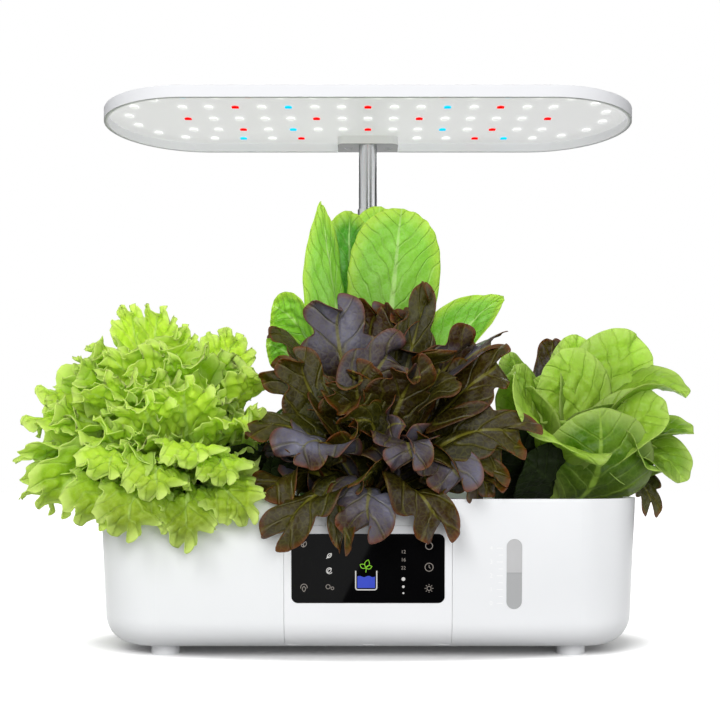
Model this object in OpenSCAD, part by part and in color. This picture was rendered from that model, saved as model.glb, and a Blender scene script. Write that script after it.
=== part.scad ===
// Countertop hydroponic garden: a water tub with a planting deck, four pods with
// lettuces, a touch panel and a grow lamp on a telescopic pole.
// Millimetres, +Z up, +X to the right and -Y towards the user. The origin is the
// middle of the four feet, on the surface that they stand on.

/* [Tub] */
// Width of the tub at its rim
base_w = 400; // [340:1:480]
// Depth of the tub at its rim
base_d = 192; // [170:1:230]
// Height of the tub's rim above the table
tub_h = 113.4; // [95:0.1:140]
// Wall thickness of the tub
wall = 2.6; // [2:0.1:3.2]
// Radius of the tub's four corners in plan
corner_r = 48; // [38:1:60]
// Radius of the rounding round the tub's floor
floor_r = 22; // [16:1:26]
// Slope of the tub's walls, in degrees
draft = 2.5; // [1:0.1:4]
// Diameter of each foot
foot_d = 21; // [16:0.5:25]
// Height that the feet lift the tub
foot_h = 7.5; // [5:0.1:10]
// Distance of each foot from the middle, to the side
foot_x = 151; // [120:1:153]
// Distance of each foot from the middle, to the front or back
foot_y = 57; // [46:1:60]

/* [Deck] */
// Thickness of the deck's rim on top of the tub
deck_rim_t = 2.6; // [2:0.1:4]
// Width of the deck's rim
deck_rim_w = 8; // [6:0.5:12]
// Thickness of the deck's sunken plate
deck_t = 2.4; // [2:0.1:3]
// Depth of the sunken plate's top below the rim
deck_sink = 9.5; // [7:0.1:14]
// Play between the deck and the tub
deck_play = 0.5; // [0.3:0.1:1]
// Width of the filling hole
fill_w = 40; // [30:1:50]
// Depth of the filling hole, front to back
fill_d = 17; // [12:1:18]
// Thickness of the filling flap
flap_t = 2; // [1.5:0.1:3]

/* [Pods] */
// Diameter of each pod hole
pod_hole_d = 27.6; // [24:0.2:32]
// Play between a basket and its hole, all round
pod_play = 0.6; // [0.4:0.1:1]
// Diameter of a basket's rim
pod_rim_d = 35; // [33:0.5:38]
// Length of a basket below the deck plate's top
basket_l = 45; // [35:1:50]
// Wall thickness of a basket
basket_wall = 1.3; // [1:0.1:2]

/* [Control panel] */
// Width of the control cover
cover_w = 120.4; // [114:0.1:130]
// Height of the control cover's top edge above the table
cover_top = 97.2; // [95:0.1:100]
// Thickness of the control cover
cover_t = 2.4; // [2:0.1:3]
// Play between the cover and the tub, all round
cover_play = 0.25; // [0.15:0.05:0.4]
// Width of the display glass
glass_w = 109.5; // [96:0.1:110]
// Height of the display glass
glass_h = 49.7; // [40:0.1:52]
// Height of the display glass's middle above the table
glass_z = 66.4; // [62:0.1:67]
// Thickness of the display glass
glass_t = 1.4; // [1:0.1:1.6]
// Depth of the space behind the control cover
bay_depth = 16; // [15:0.5:20]

/* [Water window] */
// Width of the water window
window_w = 11.1; // [8:0.1:16]
// Height of the water window
window_h = 50.3; // [40:0.1:54]
// Distance of the water window to the right of the middle
window_x = 104.3; // [92:0.1:130]
// Height of the water window's middle above the table
window_z = 62.4; // [60:0.1:64]

/* [Pole and lamp] */
// Distance of the pole behind the middle
pole_y = 75; // [70:0.5:76]
// Outer diameter of the lower tube
lower_d = 18; // [17:0.1:20]
// Outer diameter of the upper tube
upper_d = 16; // [14:0.1:16]
// Wall thickness of the upper tube
upper_wall = 1; // [0.8:0.1:1.4]
// Height of the lower tube's top above the table
lower_top = 360; // [340:1:370]
// Length of the lamp panel
lamp_l = 426; // [380:1:500]
// Depth of the lamp panel, front to back
lamp_d = 150; // [140:1:170]
// Thickness of the lamp panel at its rim
lamp_t = 9.1; // [9:0.1:12]
// Height of the lamp panel's underside above the table
lamp_z = 415.1; // [400:0.1:440]
// Distance of the lamp panel's middle behind the tub's middle
lamp_y = 19; // [15:0.5:19]
// Width of the lamp panel's rim
lamp_rim = 3; // [2:0.1:4]
// Spacing of the lamp's inner rows of lights, along the row
led_pitch = 20.9; // [19:0.1:23]
// Spacing of the lamp's rows of lights, front to back
led_row = 29.5; // [26:0.1:31]
// Width of the bracket under the lamp
bracket_w = 52; // [44:1:60]

/* [Pump] */
// Width of the pump
pump_w = 42; // [38:1:48]
// Depth of the pump, front to back
pump_d = 34; // [32:1:40]
// Height of the pump's body
pump_h = 26; // [26:1:32]
// Distance of the pump's middle to the right of the middle
pump_x = 96; // [92:1:110]
// Distance of the pump's middle behind the middle
pump_y = 50; // [46:1:52]

/* [Plants] */
// Overall height of the tallest lettuce above the table
romaine_top = 350; // [300:1:352]

/* [Hidden] */
$fn = 64;
eps = 0.01;
big = 600;
slope = tan(draft);
fit = 0.1;

// Tub
floor_cz = foot_h + floor_r;
floor_cr = corner_r - (tub_h - floor_cz) * slope - floor_r;
rim_z = tub_h + deck_rim_t;
foot_seat = 1;
foot_pad = foot_h + foot_seat;

// Deck
plate_z = rim_z - deck_sink;
skirt_t = 2.4;
deck_in = wall + deck_play + (tub_h - plate_z + deck_t) * slope;

// Planted holes: left, front, rear and right
pod_at = [[-140, -18], [0, -48], [0, 12], [145, -10]];
spare_at = [[-70, -48], [70, -48], [-70, 12], [70, 12]];
cap_t = 1.6;
cap_plug = 8;

// Filling hole and its flap, behind the left pod
fill_x = -95;
flap_edge = 3;
flap_pin_r = 1.2;
pin_play = 0.08;
fill_y = 68;
hinge_y = fill_y + fill_d / 2 + flap_edge + 2;
hinge_z = plate_z + 3.2;

// Control bay
bay_y = -base_d / 2 + bay_depth;
board_t = 1.6;
board_w = 112;
board_h = 63;
board_z = 64.7;
board_y = bay_y - 7;
boss_x = 50;
boss_dz = 28.8;
boss_r = 2.2;
screw_r = 1.1;
ledge = 2;
module_t = 3.2;
tab_w = 10;
tab_h = 3;

// Channel in the underside from the control bay to the rear bay
channel_w = 18;
channel_h = 11;
rear_bay_x0 = -14;
rear_bay_x1 = 50;
rear_bay_y = 60;
rear_bay_top = 52;
rear_open_y = base_d / 2 - 9.6;
rear_open_h = 31;
under_cover_t = 2;
under_boss_r = 3;
under_screw_at = [
    [-5, -62], [-5, 20],
    [rear_bay_x0 + under_boss_r - 0.5, rear_bay_y + under_boss_r - 0.5],
    [rear_bay_x1 - under_boss_r + 0.5, rear_bay_y + under_boss_r - 0.5]
];

// Power inlet in the rear wall
inlet_x = 36;
inlet_z = 40;
inlet_r = 5.4;
inlet_flange_r = 8;
inlet_bore_r = 2.75;
inlet_pin_r = 1;

// Pole
lower_r = lower_d / 2;
upper_r = upper_d / 2;
slide_play = 0.08;
socket_r = lower_r + 2;
socket_play = 0.05;
column_r = socket_r + 2.6;
column_top = plate_z - deck_t - 0.6;
pole_foot = rear_bay_top + 6;
lead_hole_r = 4;
upper_foot = lower_top - 194;
slot_half = column_r + 0.8;

// Lamp
lamp_top = lamp_z + lamp_t;
lamp_half = (lamp_l - lamp_d) / 2;
lamp_skin = 1;
led_board_t = 1.2;
board_face = lamp_top - lamp_skin - led_board_t;
bracket_y0 = pole_y - 9;
bracket_y1 = lamp_y + lamp_d / 2 - 0.6;
bracket_r = 6;
bracket_play = 0.15;
bracket_screw_x = 17;
bracket_screw_y = pole_y + 6;
led_t = 0.8;
led_size = [5.4, 3.6];
loop_r = 2 * led_row - 4;
loop_n = 36;
row_len = 7;

// Pump
sucker_h = 3.8;
pump_z = foot_h + wall + sucker_h;
pump_cz = pump_z + pump_h / 2;
chamber_r = 11.6;
chamber_d = 14;
rotor_r = 5.6;
rotor_bore_r = 6;
rotor_l = 14;
shaft_r = 1;
shaft_play = 0.06;
strainer_t = 2.5;
nozzle_r = 4.5;
hose_r = 6;
hose_top = plate_z - deck_t - 4;
lead_r = 1.8;
loom_r = 1.4;
pump_lead_y = pump_y + 14.5;
pump_lead_z = pump_cz - 3;
grommet_r = lead_r + 2.6;

// ---------- shared shapes ----------

// Height-dependent position of the tub's front or rear face
function face_y(z) = base_d / 2 - (tub_h - z) * slope;

// Outline of the tub's wall from a corner's axis outwards, drawn in by inset and carried up by more
module wall_outline(inset, more = 0) {
    side_r = floor_cr + floor_r - inset;
    top_r = corner_r - inset + more * slope;
    base_z = foot_h + inset;
    polygon([
        [0, base_z], [floor_cr, base_z], [floor_cr, floor_cz], [side_r, floor_cz],
        [top_r, tub_h + more], [0, tub_h + more]
    ]);
    intersection() {
        translate([floor_cr, floor_cz]) circle(r = floor_r - inset);
        translate([floor_cr, base_z]) square([floor_r, floor_r - inset]);
    }
}

// Body swept round the tub's rounded rectangle from an outline; its core runs from z0 to z1
module swept(z0, z1) {
    cx = base_w / 2 - corner_r;
    cy = base_d / 2 - corner_r;
    translate([-cx, -cy, z0]) cube([2 * cx, 2 * cy, z1 - z0]);
    for (side = [0, 1]) mirror([side, 0, 0]) {
        translate([cx, cy, 0]) rotate([90, 0, 0]) linear_extrude(2 * cy) children();
        for (end = [0, 1]) mirror([0, end, 0])
            translate([cx, cy, 0]) rotate_extrude(angle = 90) children();
    }
    for (end = [0, 1]) mirror([0, end, 0])
        translate([-cx, cy, 0]) rotate([90, 0, 90]) linear_extrude(2 * cx) children();
}

// The tub's outside as one solid, drawn in by inset and carried up by more
module tub_solid(inset, more = 0) {
    swept(foot_h + inset, tub_h + more) wall_outline(inset, more);
}

// Straight-sided slab on the tub's outline, drawn in by inset
module slab(inset, z0, z1) {
    swept(z0, z1) translate([0, z0]) square([corner_r - inset, z1 - z0]);
}

module rounded(w, h, r) {
    square([w - 2 * r, h], center = true);
    square([w, h - 2 * r], center = true);
    for (x = [-1, 1], y = [-1, 1])
        translate([x * (w / 2 - r), y * (h / 2 - r)]) circle(r = r);
}

// Upright slot with round ends
module upright_slot(w, h) {
    square([w, h - w], center = true);
    for (y = [-1, 1]) translate([0, y * (h - w) / 2]) circle(d = w);
}

// Prism through the tub's front wall, from a shape drawn in X and Z
module through_front(x, z) {
    translate([x, bay_y + 12, z]) rotate([90, 0, 0]) linear_extrude(60) children();
}

// Places its children on the tub's rear face, with +Y outwards
module on_rear(x, z) {
    translate([x, face_y(z), z]) rotate([-draft, 0, 0]) children();
}

module tube(r_out, r_in, z0, z1) {
    difference() {
        translate([0, 0, z0]) cylinder(r = r_out, h = z1 - z0);
        translate([0, 0, z0 - 1]) cylinder(r = r_in, h = z1 - z0 + 2);
    }
}

// Round lead through a list of points, with slightly thicker round elbows
module lead(points, r) {
    for (i = [0 : len(points) - 2]) {
        a = points[i];
        run = points[i + 1] - a;
        translate(a)
            rotate([0, acos(run[2] / norm(run)), atan2(run[1], run[0])])
                cylinder(r = r, h = norm(run));
        if (i > 0) translate(a) sphere(r = 1.04 * r);
    }
}

// ---------- tub and what is fixed to it ----------

module channel_space(side, height) {
    translate([-side, bay_y - 1, -1])
        cube([2 * side, rear_bay_y - bay_y + 2, foot_h + 1 + height]);
}

module rear_bay_space(grow) {
    translate([rear_bay_x0 - grow, rear_bay_y - grow, -1])
        cube([rear_bay_x1 - rear_bay_x0 + 2 * grow, base_d, rear_bay_top + 1 + grow]);
}

module reservoir_space() {
    difference() {
        tub_solid(wall, 1);
        translate([-cover_w / 2 - wall, -base_d, 0])
            cube([cover_w + 2 * wall, base_d + bay_y + wall, cover_top + wall]);
        channel_space(channel_w / 2 + wall, channel_h + wall);
        rear_bay_space(wall);
        translate([0, pole_y, 0]) cylinder(r = column_r, h = column_top);
    }
}

module under_screw_bosses() {
    for (at = under_screw_at)
        translate([at[0], at[1], foot_h + under_cover_t + fit])
            cylinder(r = under_boss_r, h = channel_h - under_cover_t);
}

module reservoir_tub() {
    color("#f1f2f4") difference() {
        union() {
            difference() {
                tub_solid(0);
                reservoir_space();
                // control bay
                translate([-cover_w / 2, -base_d, -1])
                    cube([cover_w, base_d + bay_y, cover_top - 14 + 1]);
                through_front(0, cover_top - 30) rounded(cover_w, 60, 8);
                // wiring channel and rear bay
                channel_space(channel_w / 2, channel_h);
                intersection() {
                    rear_bay_space(0);
                    union() {
                        tub_solid(wall);
                        translate([-base_w, -base_d, -1])
                            cube([2 * base_w, base_d + rear_open_y, rear_open_h]);
                    }
                }
            }
            under_screw_bosses();
        }
        // screw holes in the bosses
        for (at = under_screw_at)
            translate([at[0], at[1], 0]) cylinder(r = screw_r, h = foot_h + channel_h);
        // slots for the control cover's tabs
        for (x = [-35, 35])
            translate([x - tab_w / 2 - 0.3, bay_y - 10, cover_top - 2])
                cube([tab_w + 0.6, 2.6, 4]);
        // water window
        through_front(window_x, window_z) upright_slot(window_w, window_h);
        // seats of the feet
        for (x = [-foot_x, foot_x], y = [-foot_y, foot_y])
            translate([x, y, 0]) cylinder(d = foot_d + 2 * fit, h = foot_pad);
        // pole socket's bore and the lead's hole under it
        translate([0, pole_y, pole_foot]) cylinder(r = socket_r + socket_play, h = big);
        translate([0, pole_y, rear_bay_top - 1]) cylinder(r = lead_hole_r, h = big);
        // power inlet
        on_rear(inlet_x, inlet_z) rotate([90, 0, 0])
            cylinder(r = inlet_r + fit, h = 20, center = true);
        // pump lead's grommet
        translate([rear_bay_x1 - 1, pump_lead_y, pump_lead_z]) rotate([0, 90, 0])
            cylinder(r = lead_r + 1.6, h = wall + 2);
    }
}

module foot(x, y) {
    color("#f4f5f6") translate([x, y, 0]) cylinder(d = foot_d, h = foot_pad);
}

module control_cover() {
    color("#f3f4f6") difference() {
        union() {
            difference() {
                intersection() {
                    tub_solid(0);
                    union() {
                        translate([-cover_w / 2 + cover_play, -base_d, 0])
                            cube([cover_w - 2 * cover_play, base_d + bay_y - cover_play, cover_top - 14]);
                        through_front(0, cover_top - 30)
                            rounded(cover_w - 2 * cover_play, 60 - 2 * cover_play, 8 - cover_play);
                    }
                    translate([-base_w, -base_d, 0])
                        cube([2 * base_w, base_d + bay_y - cover_play, big]);
                }
                tub_solid(cover_t);
            }
            // screw bosses for the board
            for (x = [-boss_x, boss_x], z = [board_z - boss_dz, board_z + boss_dz])
                translate([x, board_y, z]) rotate([90, 0, 0])
                    cylinder(r = boss_r, h = face_y(z) + board_y - 1.2);
            // top tabs
            for (x = [-35, 35])
                translate([x - tab_w / 2, bay_y - 9.7, cover_top - 5])
                    cube([tab_w, 2, 2 + tab_h]);
            for (x = [-35, 35])
                translate([x - tab_w / 2, -face_y(cover_top) + 1.5, cover_top - 5])
                    cube([tab_w, face_y(cover_top) + bay_y - 9, 2]);
        }
        // seat of the glass, and the window behind it
        difference() {
            through_front(0, glass_z) rounded(glass_w, glass_h, 4.7);
            tub_solid(glass_t);
        }
        through_front(0, glass_z)
            rounded(glass_w - 2 * ledge, glass_h - 2 * ledge, 3);
        for (x = [-boss_x, boss_x], z = [board_z - boss_dz, board_z + boss_dz])
            translate([x, board_y + 1, z]) rotate([90, 0, 0]) cylinder(r = screw_r, h = 5);
        // clip notches in the bottom edge
        for (x = [-55, 0, 55])
            translate([x - 4, bay_y - 3, 0]) cube([8, 10, foot_h + cover_t + 1]);
    }
}

module display_glass() {
    color("#0c0d10") difference() {
        intersection() {
            tub_solid(0);
            through_front(0, glass_z)
                rounded(glass_w - 2 * fit, glass_h - 2 * fit, 4.7 - fit);
        }
        tub_solid(glass_t);
    }
}

module display_module() {
    w = glass_w - 2 * ledge - 3;
    h = glass_h - 2 * ledge - 3;
    color("#2b2e33")
        translate([0, -face_y(glass_z), glass_z]) rotate([draft, 0, 0])
            translate([-w / 2, glass_t + 0.05, -h / 2]) cube([w, module_t, h]);
}

module control_board() {
    color("#1f6b3a") difference() {
        translate([-board_w / 2, board_y, board_z - board_h / 2])
            cube([board_w, board_t, board_h]);
        for (x = [-boss_x, boss_x], z = [board_z - boss_dz, board_z + boss_dz])
            translate([x, board_y + board_t + 1, z]) rotate([90, 0, 0])
                cylinder(r = screw_r + 0.2, h = board_t + 2);
    }
}

module board_screws() {
    color("#b9bcc0")
        for (x = [-boss_x, boss_x], z = [board_z - boss_dz, board_z + boss_dz])
            translate([x, board_y + board_t, z]) {
                rotate([-90, 0, 0]) cylinder(r = boss_r, h = 1.2);
                rotate([90, 0, 0]) cylinder(r = screw_r - 0.05, h = board_t + 3.5);
            }
}

gasket_t = 0.8;
lens_lip = 4;

module water_window() {
    color("#c9cccf", 0.6) {
        difference() {
            intersection() {
                tub_solid(0.3);
                through_front(window_x, window_z)
                    upright_slot(window_w - 2 * fit, window_h - 2 * fit);
            }
            tub_solid(wall + gasket_t + 1);
        }
        difference() {
            intersection() {
                tub_solid(wall + gasket_t);
                through_front(window_x, window_z)
                    upright_slot(window_w + 2 * lens_lip, window_h + 2 * lens_lip);
            }
            tub_solid(wall + gasket_t + 1.8);
        }
    }
}

module window_gasket() {
    color("#2a2b2d") difference() {
        intersection() {
            tub_solid(wall);
            through_front(window_x, window_z)
                upright_slot(window_w + 2 * lens_lip, window_h + 2 * lens_lip);
        }
        tub_solid(wall + gasket_t);
        through_front(window_x, window_z) upright_slot(window_w, window_h);
    }
}

module underside_cover() {
    color("#e9eaec") difference() {
        intersection() {
            tub_solid(0);
            union() {
                translate([-channel_w / 2 + fit, bay_y + fit, 0])
                    cube([channel_w - 2 * fit, rear_bay_y - bay_y + 1, 30]);
                translate([rear_bay_x0 + fit, rear_bay_y + fit, 0])
                    cube([
                        rear_bay_x1 - rear_bay_x0 - 2 * fit,
                        rear_open_y - rear_bay_y - 2 * fit,
                        rear_open_h
                    ]);
            }
        }
        tub_solid(under_cover_t);
        for (at = under_screw_at)
            translate([at[0], at[1], 0]) cylinder(r = screw_r + 0.2, h = 20);
    }
}

module underside_screws() {
    color("#9a9da1") for (at = under_screw_at)
        translate([at[0], at[1], 0]) {
            translate([0, 0, foot_h - 1.2]) cylinder(r = 2.2, h = 1.2);
            translate([0, 0, foot_h - 0.5]) cylinder(r = screw_r - 0.05, h = 6.5);
        }
}

module dc_inlet() {
    color("#1c1d1f") on_rear(inlet_x, inlet_z) rotate([-90, 0, 0]) difference() {
        union() {
            cylinder(r = inlet_flange_r, h = 1.5);
            translate([0, 0, -14]) cylinder(r = inlet_r, h = 15);
        }
        translate([0, 0, -9]) cylinder(r = inlet_bore_r, h = 20);
        translate([0, 0, -15]) cylinder(r = inlet_pin_r, h = 20);
    }
}

module inlet_pin() {
    color("#d8b25a") on_rear(inlet_x, inlet_z) rotate([-90, 0, 0])
        translate([0, 0, -15]) cylinder(r = inlet_pin_r - 0.02, h = 15);
}

module wiring_loom() {
    z = foot_h + under_cover_t + loom_r + 1.7;
    color("#26272a") lead([
        [4.5, bay_y - 3, board_z - board_h / 2 + 0.5], [4.5, bay_y - 3, z + 6.4],
        [4.5, bay_y + 0.5, z + 2.6], [4.5, bay_y + 10, z],
        [4.5, 72, z], [inlet_x, 72, z],
        [inlet_x, 72, inlet_z + 0.3], [inlet_x, face_y(inlet_z) - 15.3, inlet_z + 0.3]
    ], loom_r);
}

// ---------- pump ----------

module pump_body() {
    color("#2c2e31") difference() {
        union() {
            translate([pump_x - pump_w / 2, pump_y - pump_d / 2, pump_z])
                cube([pump_w, pump_d, pump_h]);
            translate([pump_x + 8, pump_y - pump_d / 2 + 7, pump_z + pump_h - 1])
                cylinder(r = nozzle_r, h = 9);
        }
        translate([pump_x, pump_y - pump_d / 2 - 1, pump_cz]) rotate([-90, 0, 0]) {
            cylinder(r = chamber_r, h = chamber_d + 1);
            cylinder(r = rotor_bore_r, h = chamber_d + rotor_l + 2);
            cylinder(r = shaft_r + 0.01, h = pump_d - 1);
        }
        translate([pump_x + 8, pump_y - pump_d / 2 + 7, pump_cz])
            cylinder(r = nozzle_r - 1.5, h = pump_h);
    }
}

module pump_strainer() {
    x0 = pump_x - pump_w / 2;
    y0 = pump_y - pump_d / 2 - strainer_t;
    color("#3a3d41") difference() {
        translate([x0, y0, pump_z]) cube([pump_w, strainer_t, pump_h]);
        for (i = [0 : 6]) if (abs(i - 3) > 0.5)
            translate([x0 + 5 + i * 4.9, y0 - 1, pump_z + 4])
                cube([2.4, strainer_t + 2, pump_h - 8]);
        translate([pump_x, y0 - 1, pump_cz]) rotate([-90, 0, 0])
            cylinder(r = shaft_r + 0.01, h = strainer_t + 2);
    }
}

module pump_shaft() {
    color("#c9ccd0")
        translate([pump_x, pump_y - pump_d / 2 - strainer_t, pump_cz]) rotate([-90, 0, 0])
            cylinder(r = shaft_r, h = pump_d + strainer_t - 3);
}

module pump_impeller() {
    y0 = pump_y - pump_d / 2 + 3;
    color("#e2e3e5") translate([pump_x, y0, pump_cz]) rotate([-90, 0, 0]) difference() {
        union() {
            translate([0, 0, 6]) cylinder(r = 9.5, h = 1.6);
            cylinder(r = 3, h = 7);
            translate([0, 0, 7]) cylinder(r = rotor_r, h = rotor_l);
            for (i = [0 : 5]) rotate([0, 0, 60 * i])
                translate([2, -0.6, 0]) cube([7, 1.2, 6.5]);
        }
        translate([0, 0, -1]) cylinder(r = shaft_r + shaft_play, h = 40);
    }
}

module pump_suckers() {
    color("#303236") for (x = [-14, 14], y = [-10, 10])
        translate([pump_x + x, pump_y + y, foot_h + wall]) {
            cylinder(r = 5, h = 1.6);
            cylinder(r = 2.6, h = sucker_h);
        }
}

module pump_hose() {
    color("#d9dcdf", 0.8) translate([pump_x + 8, pump_y - pump_d / 2 + 7, 0])
        tube(hose_r, nozzle_r + 0.05, pump_z + pump_h, hose_top);
}

module pump_lead() {
    color("#1d1e20")
        lead([
            [rear_bay_x1 - 4, pump_lead_y, pump_lead_z],
            [pump_x - pump_w / 2, pump_lead_y, pump_lead_z]
        ], lead_r);
}

module lead_grommet() {
    color("#232426")
        translate([rear_bay_x1 - 1.5, pump_lead_y, pump_lead_z]) rotate([0, 90, 0])
            difference() {
                union() {
                    cylinder(r = lead_r + 1.5, h = wall + 3);
                    cylinder(r = grommet_r, h = 1.45);
                    translate([0, 0, wall + 1.55]) cylinder(r = grommet_r, h = 1.45);
                }
                translate([0, 0, -1]) cylinder(r = lead_r + 0.05, h = 20);
            }
}

// ---------- deck ----------

module grow_deck() {
    color("#eceeef") difference() {
        union() {
            slab(0, tub_h, rim_z);
            slab(deck_in, plate_z - deck_t, rim_z - eps);
        }
        slab(deck_in + skirt_t, plate_z, rim_z + 1);
        for (at = concat(pod_at, spare_at))
            translate([at[0], at[1], 0]) cylinder(d = pod_hole_d, h = big);
        // filling hole
        translate([fill_x - fill_w / 2, fill_y - fill_d / 2, 0]) cube([fill_w, fill_d, big]);
        // notch for the pole, open to the rear
        translate([0, pole_y, 0]) cylinder(r = slot_half, h = big);
        translate([-slot_half, pole_y, 0]) cube([2 * slot_half, base_d, big]);
    }
    // hinge ears
    color("#eceeef") for (side = [-1, 1]) flap_ear(side);
}

module flap_ear(side) {
    x = fill_x + side * (fill_w / 2 + 4.5);
    difference() {
        union() {
            translate([x - 1.5, hinge_y - 2.6, plate_z - eps])
                cube([3, 5.2, hinge_z - plate_z]);
            translate([x - 1.5, hinge_y, hinge_z]) rotate([0, 90, 0]) cylinder(r = 2.6, h = 3);
        }
        translate([x - 3, hinge_y, hinge_z]) rotate([0, 90, 0])
            cylinder(r = flap_pin_r + 0.01, h = 6);
    }
}

module fill_flap() {
    w = fill_w + 2 * flap_edge - 1;
    color("#f1f2f4") difference() {
        union() {
            translate([fill_x - w / 2, fill_y - fill_d / 2 - flap_edge, plate_z + 0.3])
                cube([w, fill_d + 2 * flap_edge, flap_t]);
            translate([fill_x - w / 2 + 0.4, hinge_y, hinge_z]) rotate([0, 90, 0])
                cylinder(r = 2.2, h = w - 0.8);
            translate([fill_x - w / 2 + 0.4, hinge_y - 4, plate_z + 0.3])
                cube([w - 0.8, 4, flap_t]);
            // finger lip
            translate([fill_x - 8, fill_y - fill_d / 2 - flap_edge, plate_z + 0.3])
                cube([16, 2, 5]);
        }
        translate([fill_x - w, hinge_y, hinge_z]) rotate([0, 90, 0])
            cylinder(r = flap_pin_r + pin_play, h = 2 * w);
    }
}

module flap_pin() {
    l = fill_w + 12;
    color("#b9bcc0") translate([fill_x - l / 2, hinge_y, hinge_z]) rotate([0, 90, 0])
        cylinder(r = flap_pin_r, h = l);
}

// ---------- pods ----------

module basket(at) {
    r = pod_hole_d / 2 - pod_play;
    foot = plate_z - basket_l;
    color("#e6e8ea") translate([at[0], at[1], 0]) difference() {
        union() {
            translate([0, 0, foot]) cylinder(r = r, h = basket_l + 1);
            translate([0, 0, plate_z]) cylinder(d = pod_rim_d, h = 1.8);
        }
        translate([0, 0, foot + basket_wall]) cylinder(r = r - basket_wall, h = big);
        // water slots in the side and the floor
        for (a = [0, 60, 120]) rotate([0, 0, a])
            translate([-2, -r - 1, foot + 6]) cube([4, 2 * r + 2, basket_l - 16]);
        cylinder(r = r / 2, h = foot + basket_wall + 1);
    }
}

module sponge(at) {
    r = pod_hole_d / 2 - pod_play - basket_wall - 0.1;
    foot = plate_z - basket_l + basket_wall;
    color("#6d5a44") translate([at[0], at[1], foot])
        cylinder(r = r, h = basket_l - basket_wall + 1);
}

module hole_cover(at) {
    color("#eef0f1") translate([at[0], at[1], 0]) difference() {
        union() {
            translate([0, 0, plate_z]) cylinder(d = pod_rim_d, h = cap_t);
            translate([0, 0, plate_z - cap_plug])
                cylinder(r = pod_hole_d / 2 - pod_play, h = cap_plug + 1);
            translate([-7, -1.2, plate_z + 1]) cube([14, 2.4, 6]);
        }
        translate([0, 0, plate_z - cap_plug - 1])
            cylinder(r = pod_hole_d / 2 - pod_play - 1.6, h = cap_plug + 1);
    }
}

// ---------- lettuces: plain crowns of the right size and place ----------

// Distance to a crown's outline at an angle; reach is [right, rear, left, front]
function crown_r(a, reach, power) =
    let (
        side = cos(a) >= 0 ? reach[0] : reach[2],
        end = sin(a) >= 0 ? reach[1] : reach[3]
    )
    pow(pow(abs(cos(a)) / side, power) + pow(abs(sin(a)) / end, power), -1 / power);

// Crown on a stem, from rings of [share of the outline, height]
module crown(at, reach, rings, power = 2.2) {
    n = 40;
    m = len(rings);
    points = concat(
        [for (k = [0 : m - 1], i = [0 : n - 1])
            let (
                a = 360 * i / n,
                share = rings[k][0],
                r = k == 0 || k == 1 ? share : share * crown_r(a, reach, power)
            )
            [r * cos(a), r * sin(a), rings[k][1]]],
        [[0, 0, rings[0][1]], [0, 0, rings[m - 1][1]]]
    );
    side = [for (k = [0 : m - 2], i = [0 : n - 1])
        let (j = (i + 1) % n)
        each [
            [k * n + i, (k + 1) * n + i, (k + 1) * n + j],
            [k * n + i, (k + 1) * n + j, k * n + j]
        ]];
    ends = [for (i = [0 : n - 1])
        let (j = (i + 1) % n, top = (m - 1) * n)
        each [[i, j, m * n], [top + j, top + i, m * n + 1]]];
    translate([at[0], at[1], 0]) polyhedron(points = points, faces = concat(side, ends));
}

stem_z = plate_z + 1;
stem_r = 8;
under_z = rim_z + 10;

module lettuce_curly() {
    color("#9cc437") crown(pod_at[0], [62, 66, 126, 112], [
        [stem_r, stem_z], [stem_r, under_z], [0.8, under_z + 1], [0.97, under_z + 10],
        [1, under_z + 28], [0.95, 190], [0.82, 222], [0.6, 245], [0.35, 258], [0.1, 263]
    ]);
}

module lettuce_oakleaf() {
    color("#5b3b34") crown(pod_at[1], [96, 24, 76, 92], [
        [stem_r, stem_z], [stem_r, under_z], [0.8, under_z + 1], [0.97, under_z + 8],
        [1, under_z + 26], [0.95, 185], [0.82, 215], [0.6, 245], [0.35, 266], [0.1, 277]
    ]);
}

module lettuce_romaine() {
    color("#7fae3c") crown(pod_at[2], [100, 38, 74, 27], [
        [stem_r, stem_z], [stem_r, under_z], [0.4, under_z + 2], [0.62, under_z + 12],
        [0.85, 200], [1, 250], [0.98, 285], [0.8, 318], [0.5, 340], [0.12, romaine_top]
    ]);
}

module lettuce_butterhead() {
    color("#8fbf4a") crown(pod_at[3], [108, 64, 42, 62], [
        [stem_r, stem_z], [stem_r, under_z], [0.8, under_z + 1], [0.97, under_z + 8],
        [1, under_z + 24], [0.95, 180], [0.82, 205], [0.6, 225], [0.35, 236], [0.1, 242]
    ]);
}

// ---------- pole and lamp ----------

module pole_socket() {
    color("#d7d9dc") translate([0, pole_y, 0]) difference() {
        union() {
            translate([0, 0, pole_foot + fit]) cylinder(r = socket_r, h = column_top - pole_foot);
            translate([0, 0, column_top + 0.05]) cylinder(r = column_r, h = 2);
        }
        translate([0, 0, pole_foot - 1])
            cylinder(r = lower_r + socket_play, h = big);
    }
}

module pole_lower() {
    color("#c4c7cb") translate([0, pole_y, 0])
        tube(lower_r, upper_r + slide_play, pole_foot + 0.2, lower_top);
}

module pole_upper() {
    color("#d3d6da") translate([0, pole_y, 0])
        tube(upper_r, upper_r - upper_wall, upper_foot, lamp_z + 4);
}

module pole_plug() {
    color("#2f3033") translate([0, pole_y, 0]) difference() {
        union() {
            translate([0, 0, upper_foot - 1.8]) cylinder(r = upper_r - 0.1, h = 1.75);
            translate([0, 0, upper_foot - 1]) cylinder(r = upper_r - upper_wall - 0.03, h = 11);
        }
        translate([0, 0, upper_foot - 5]) cylinder(r = lead_r + 1.4, h = 30);
    }
}

module lamp_lead() {
    color("#222326") translate([0, pole_y, 0])
        translate([0, 0, rear_bay_top - 14])
            cylinder(r = lead_r, h = board_face - rear_bay_top + 14 - 0.3);
}

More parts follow.
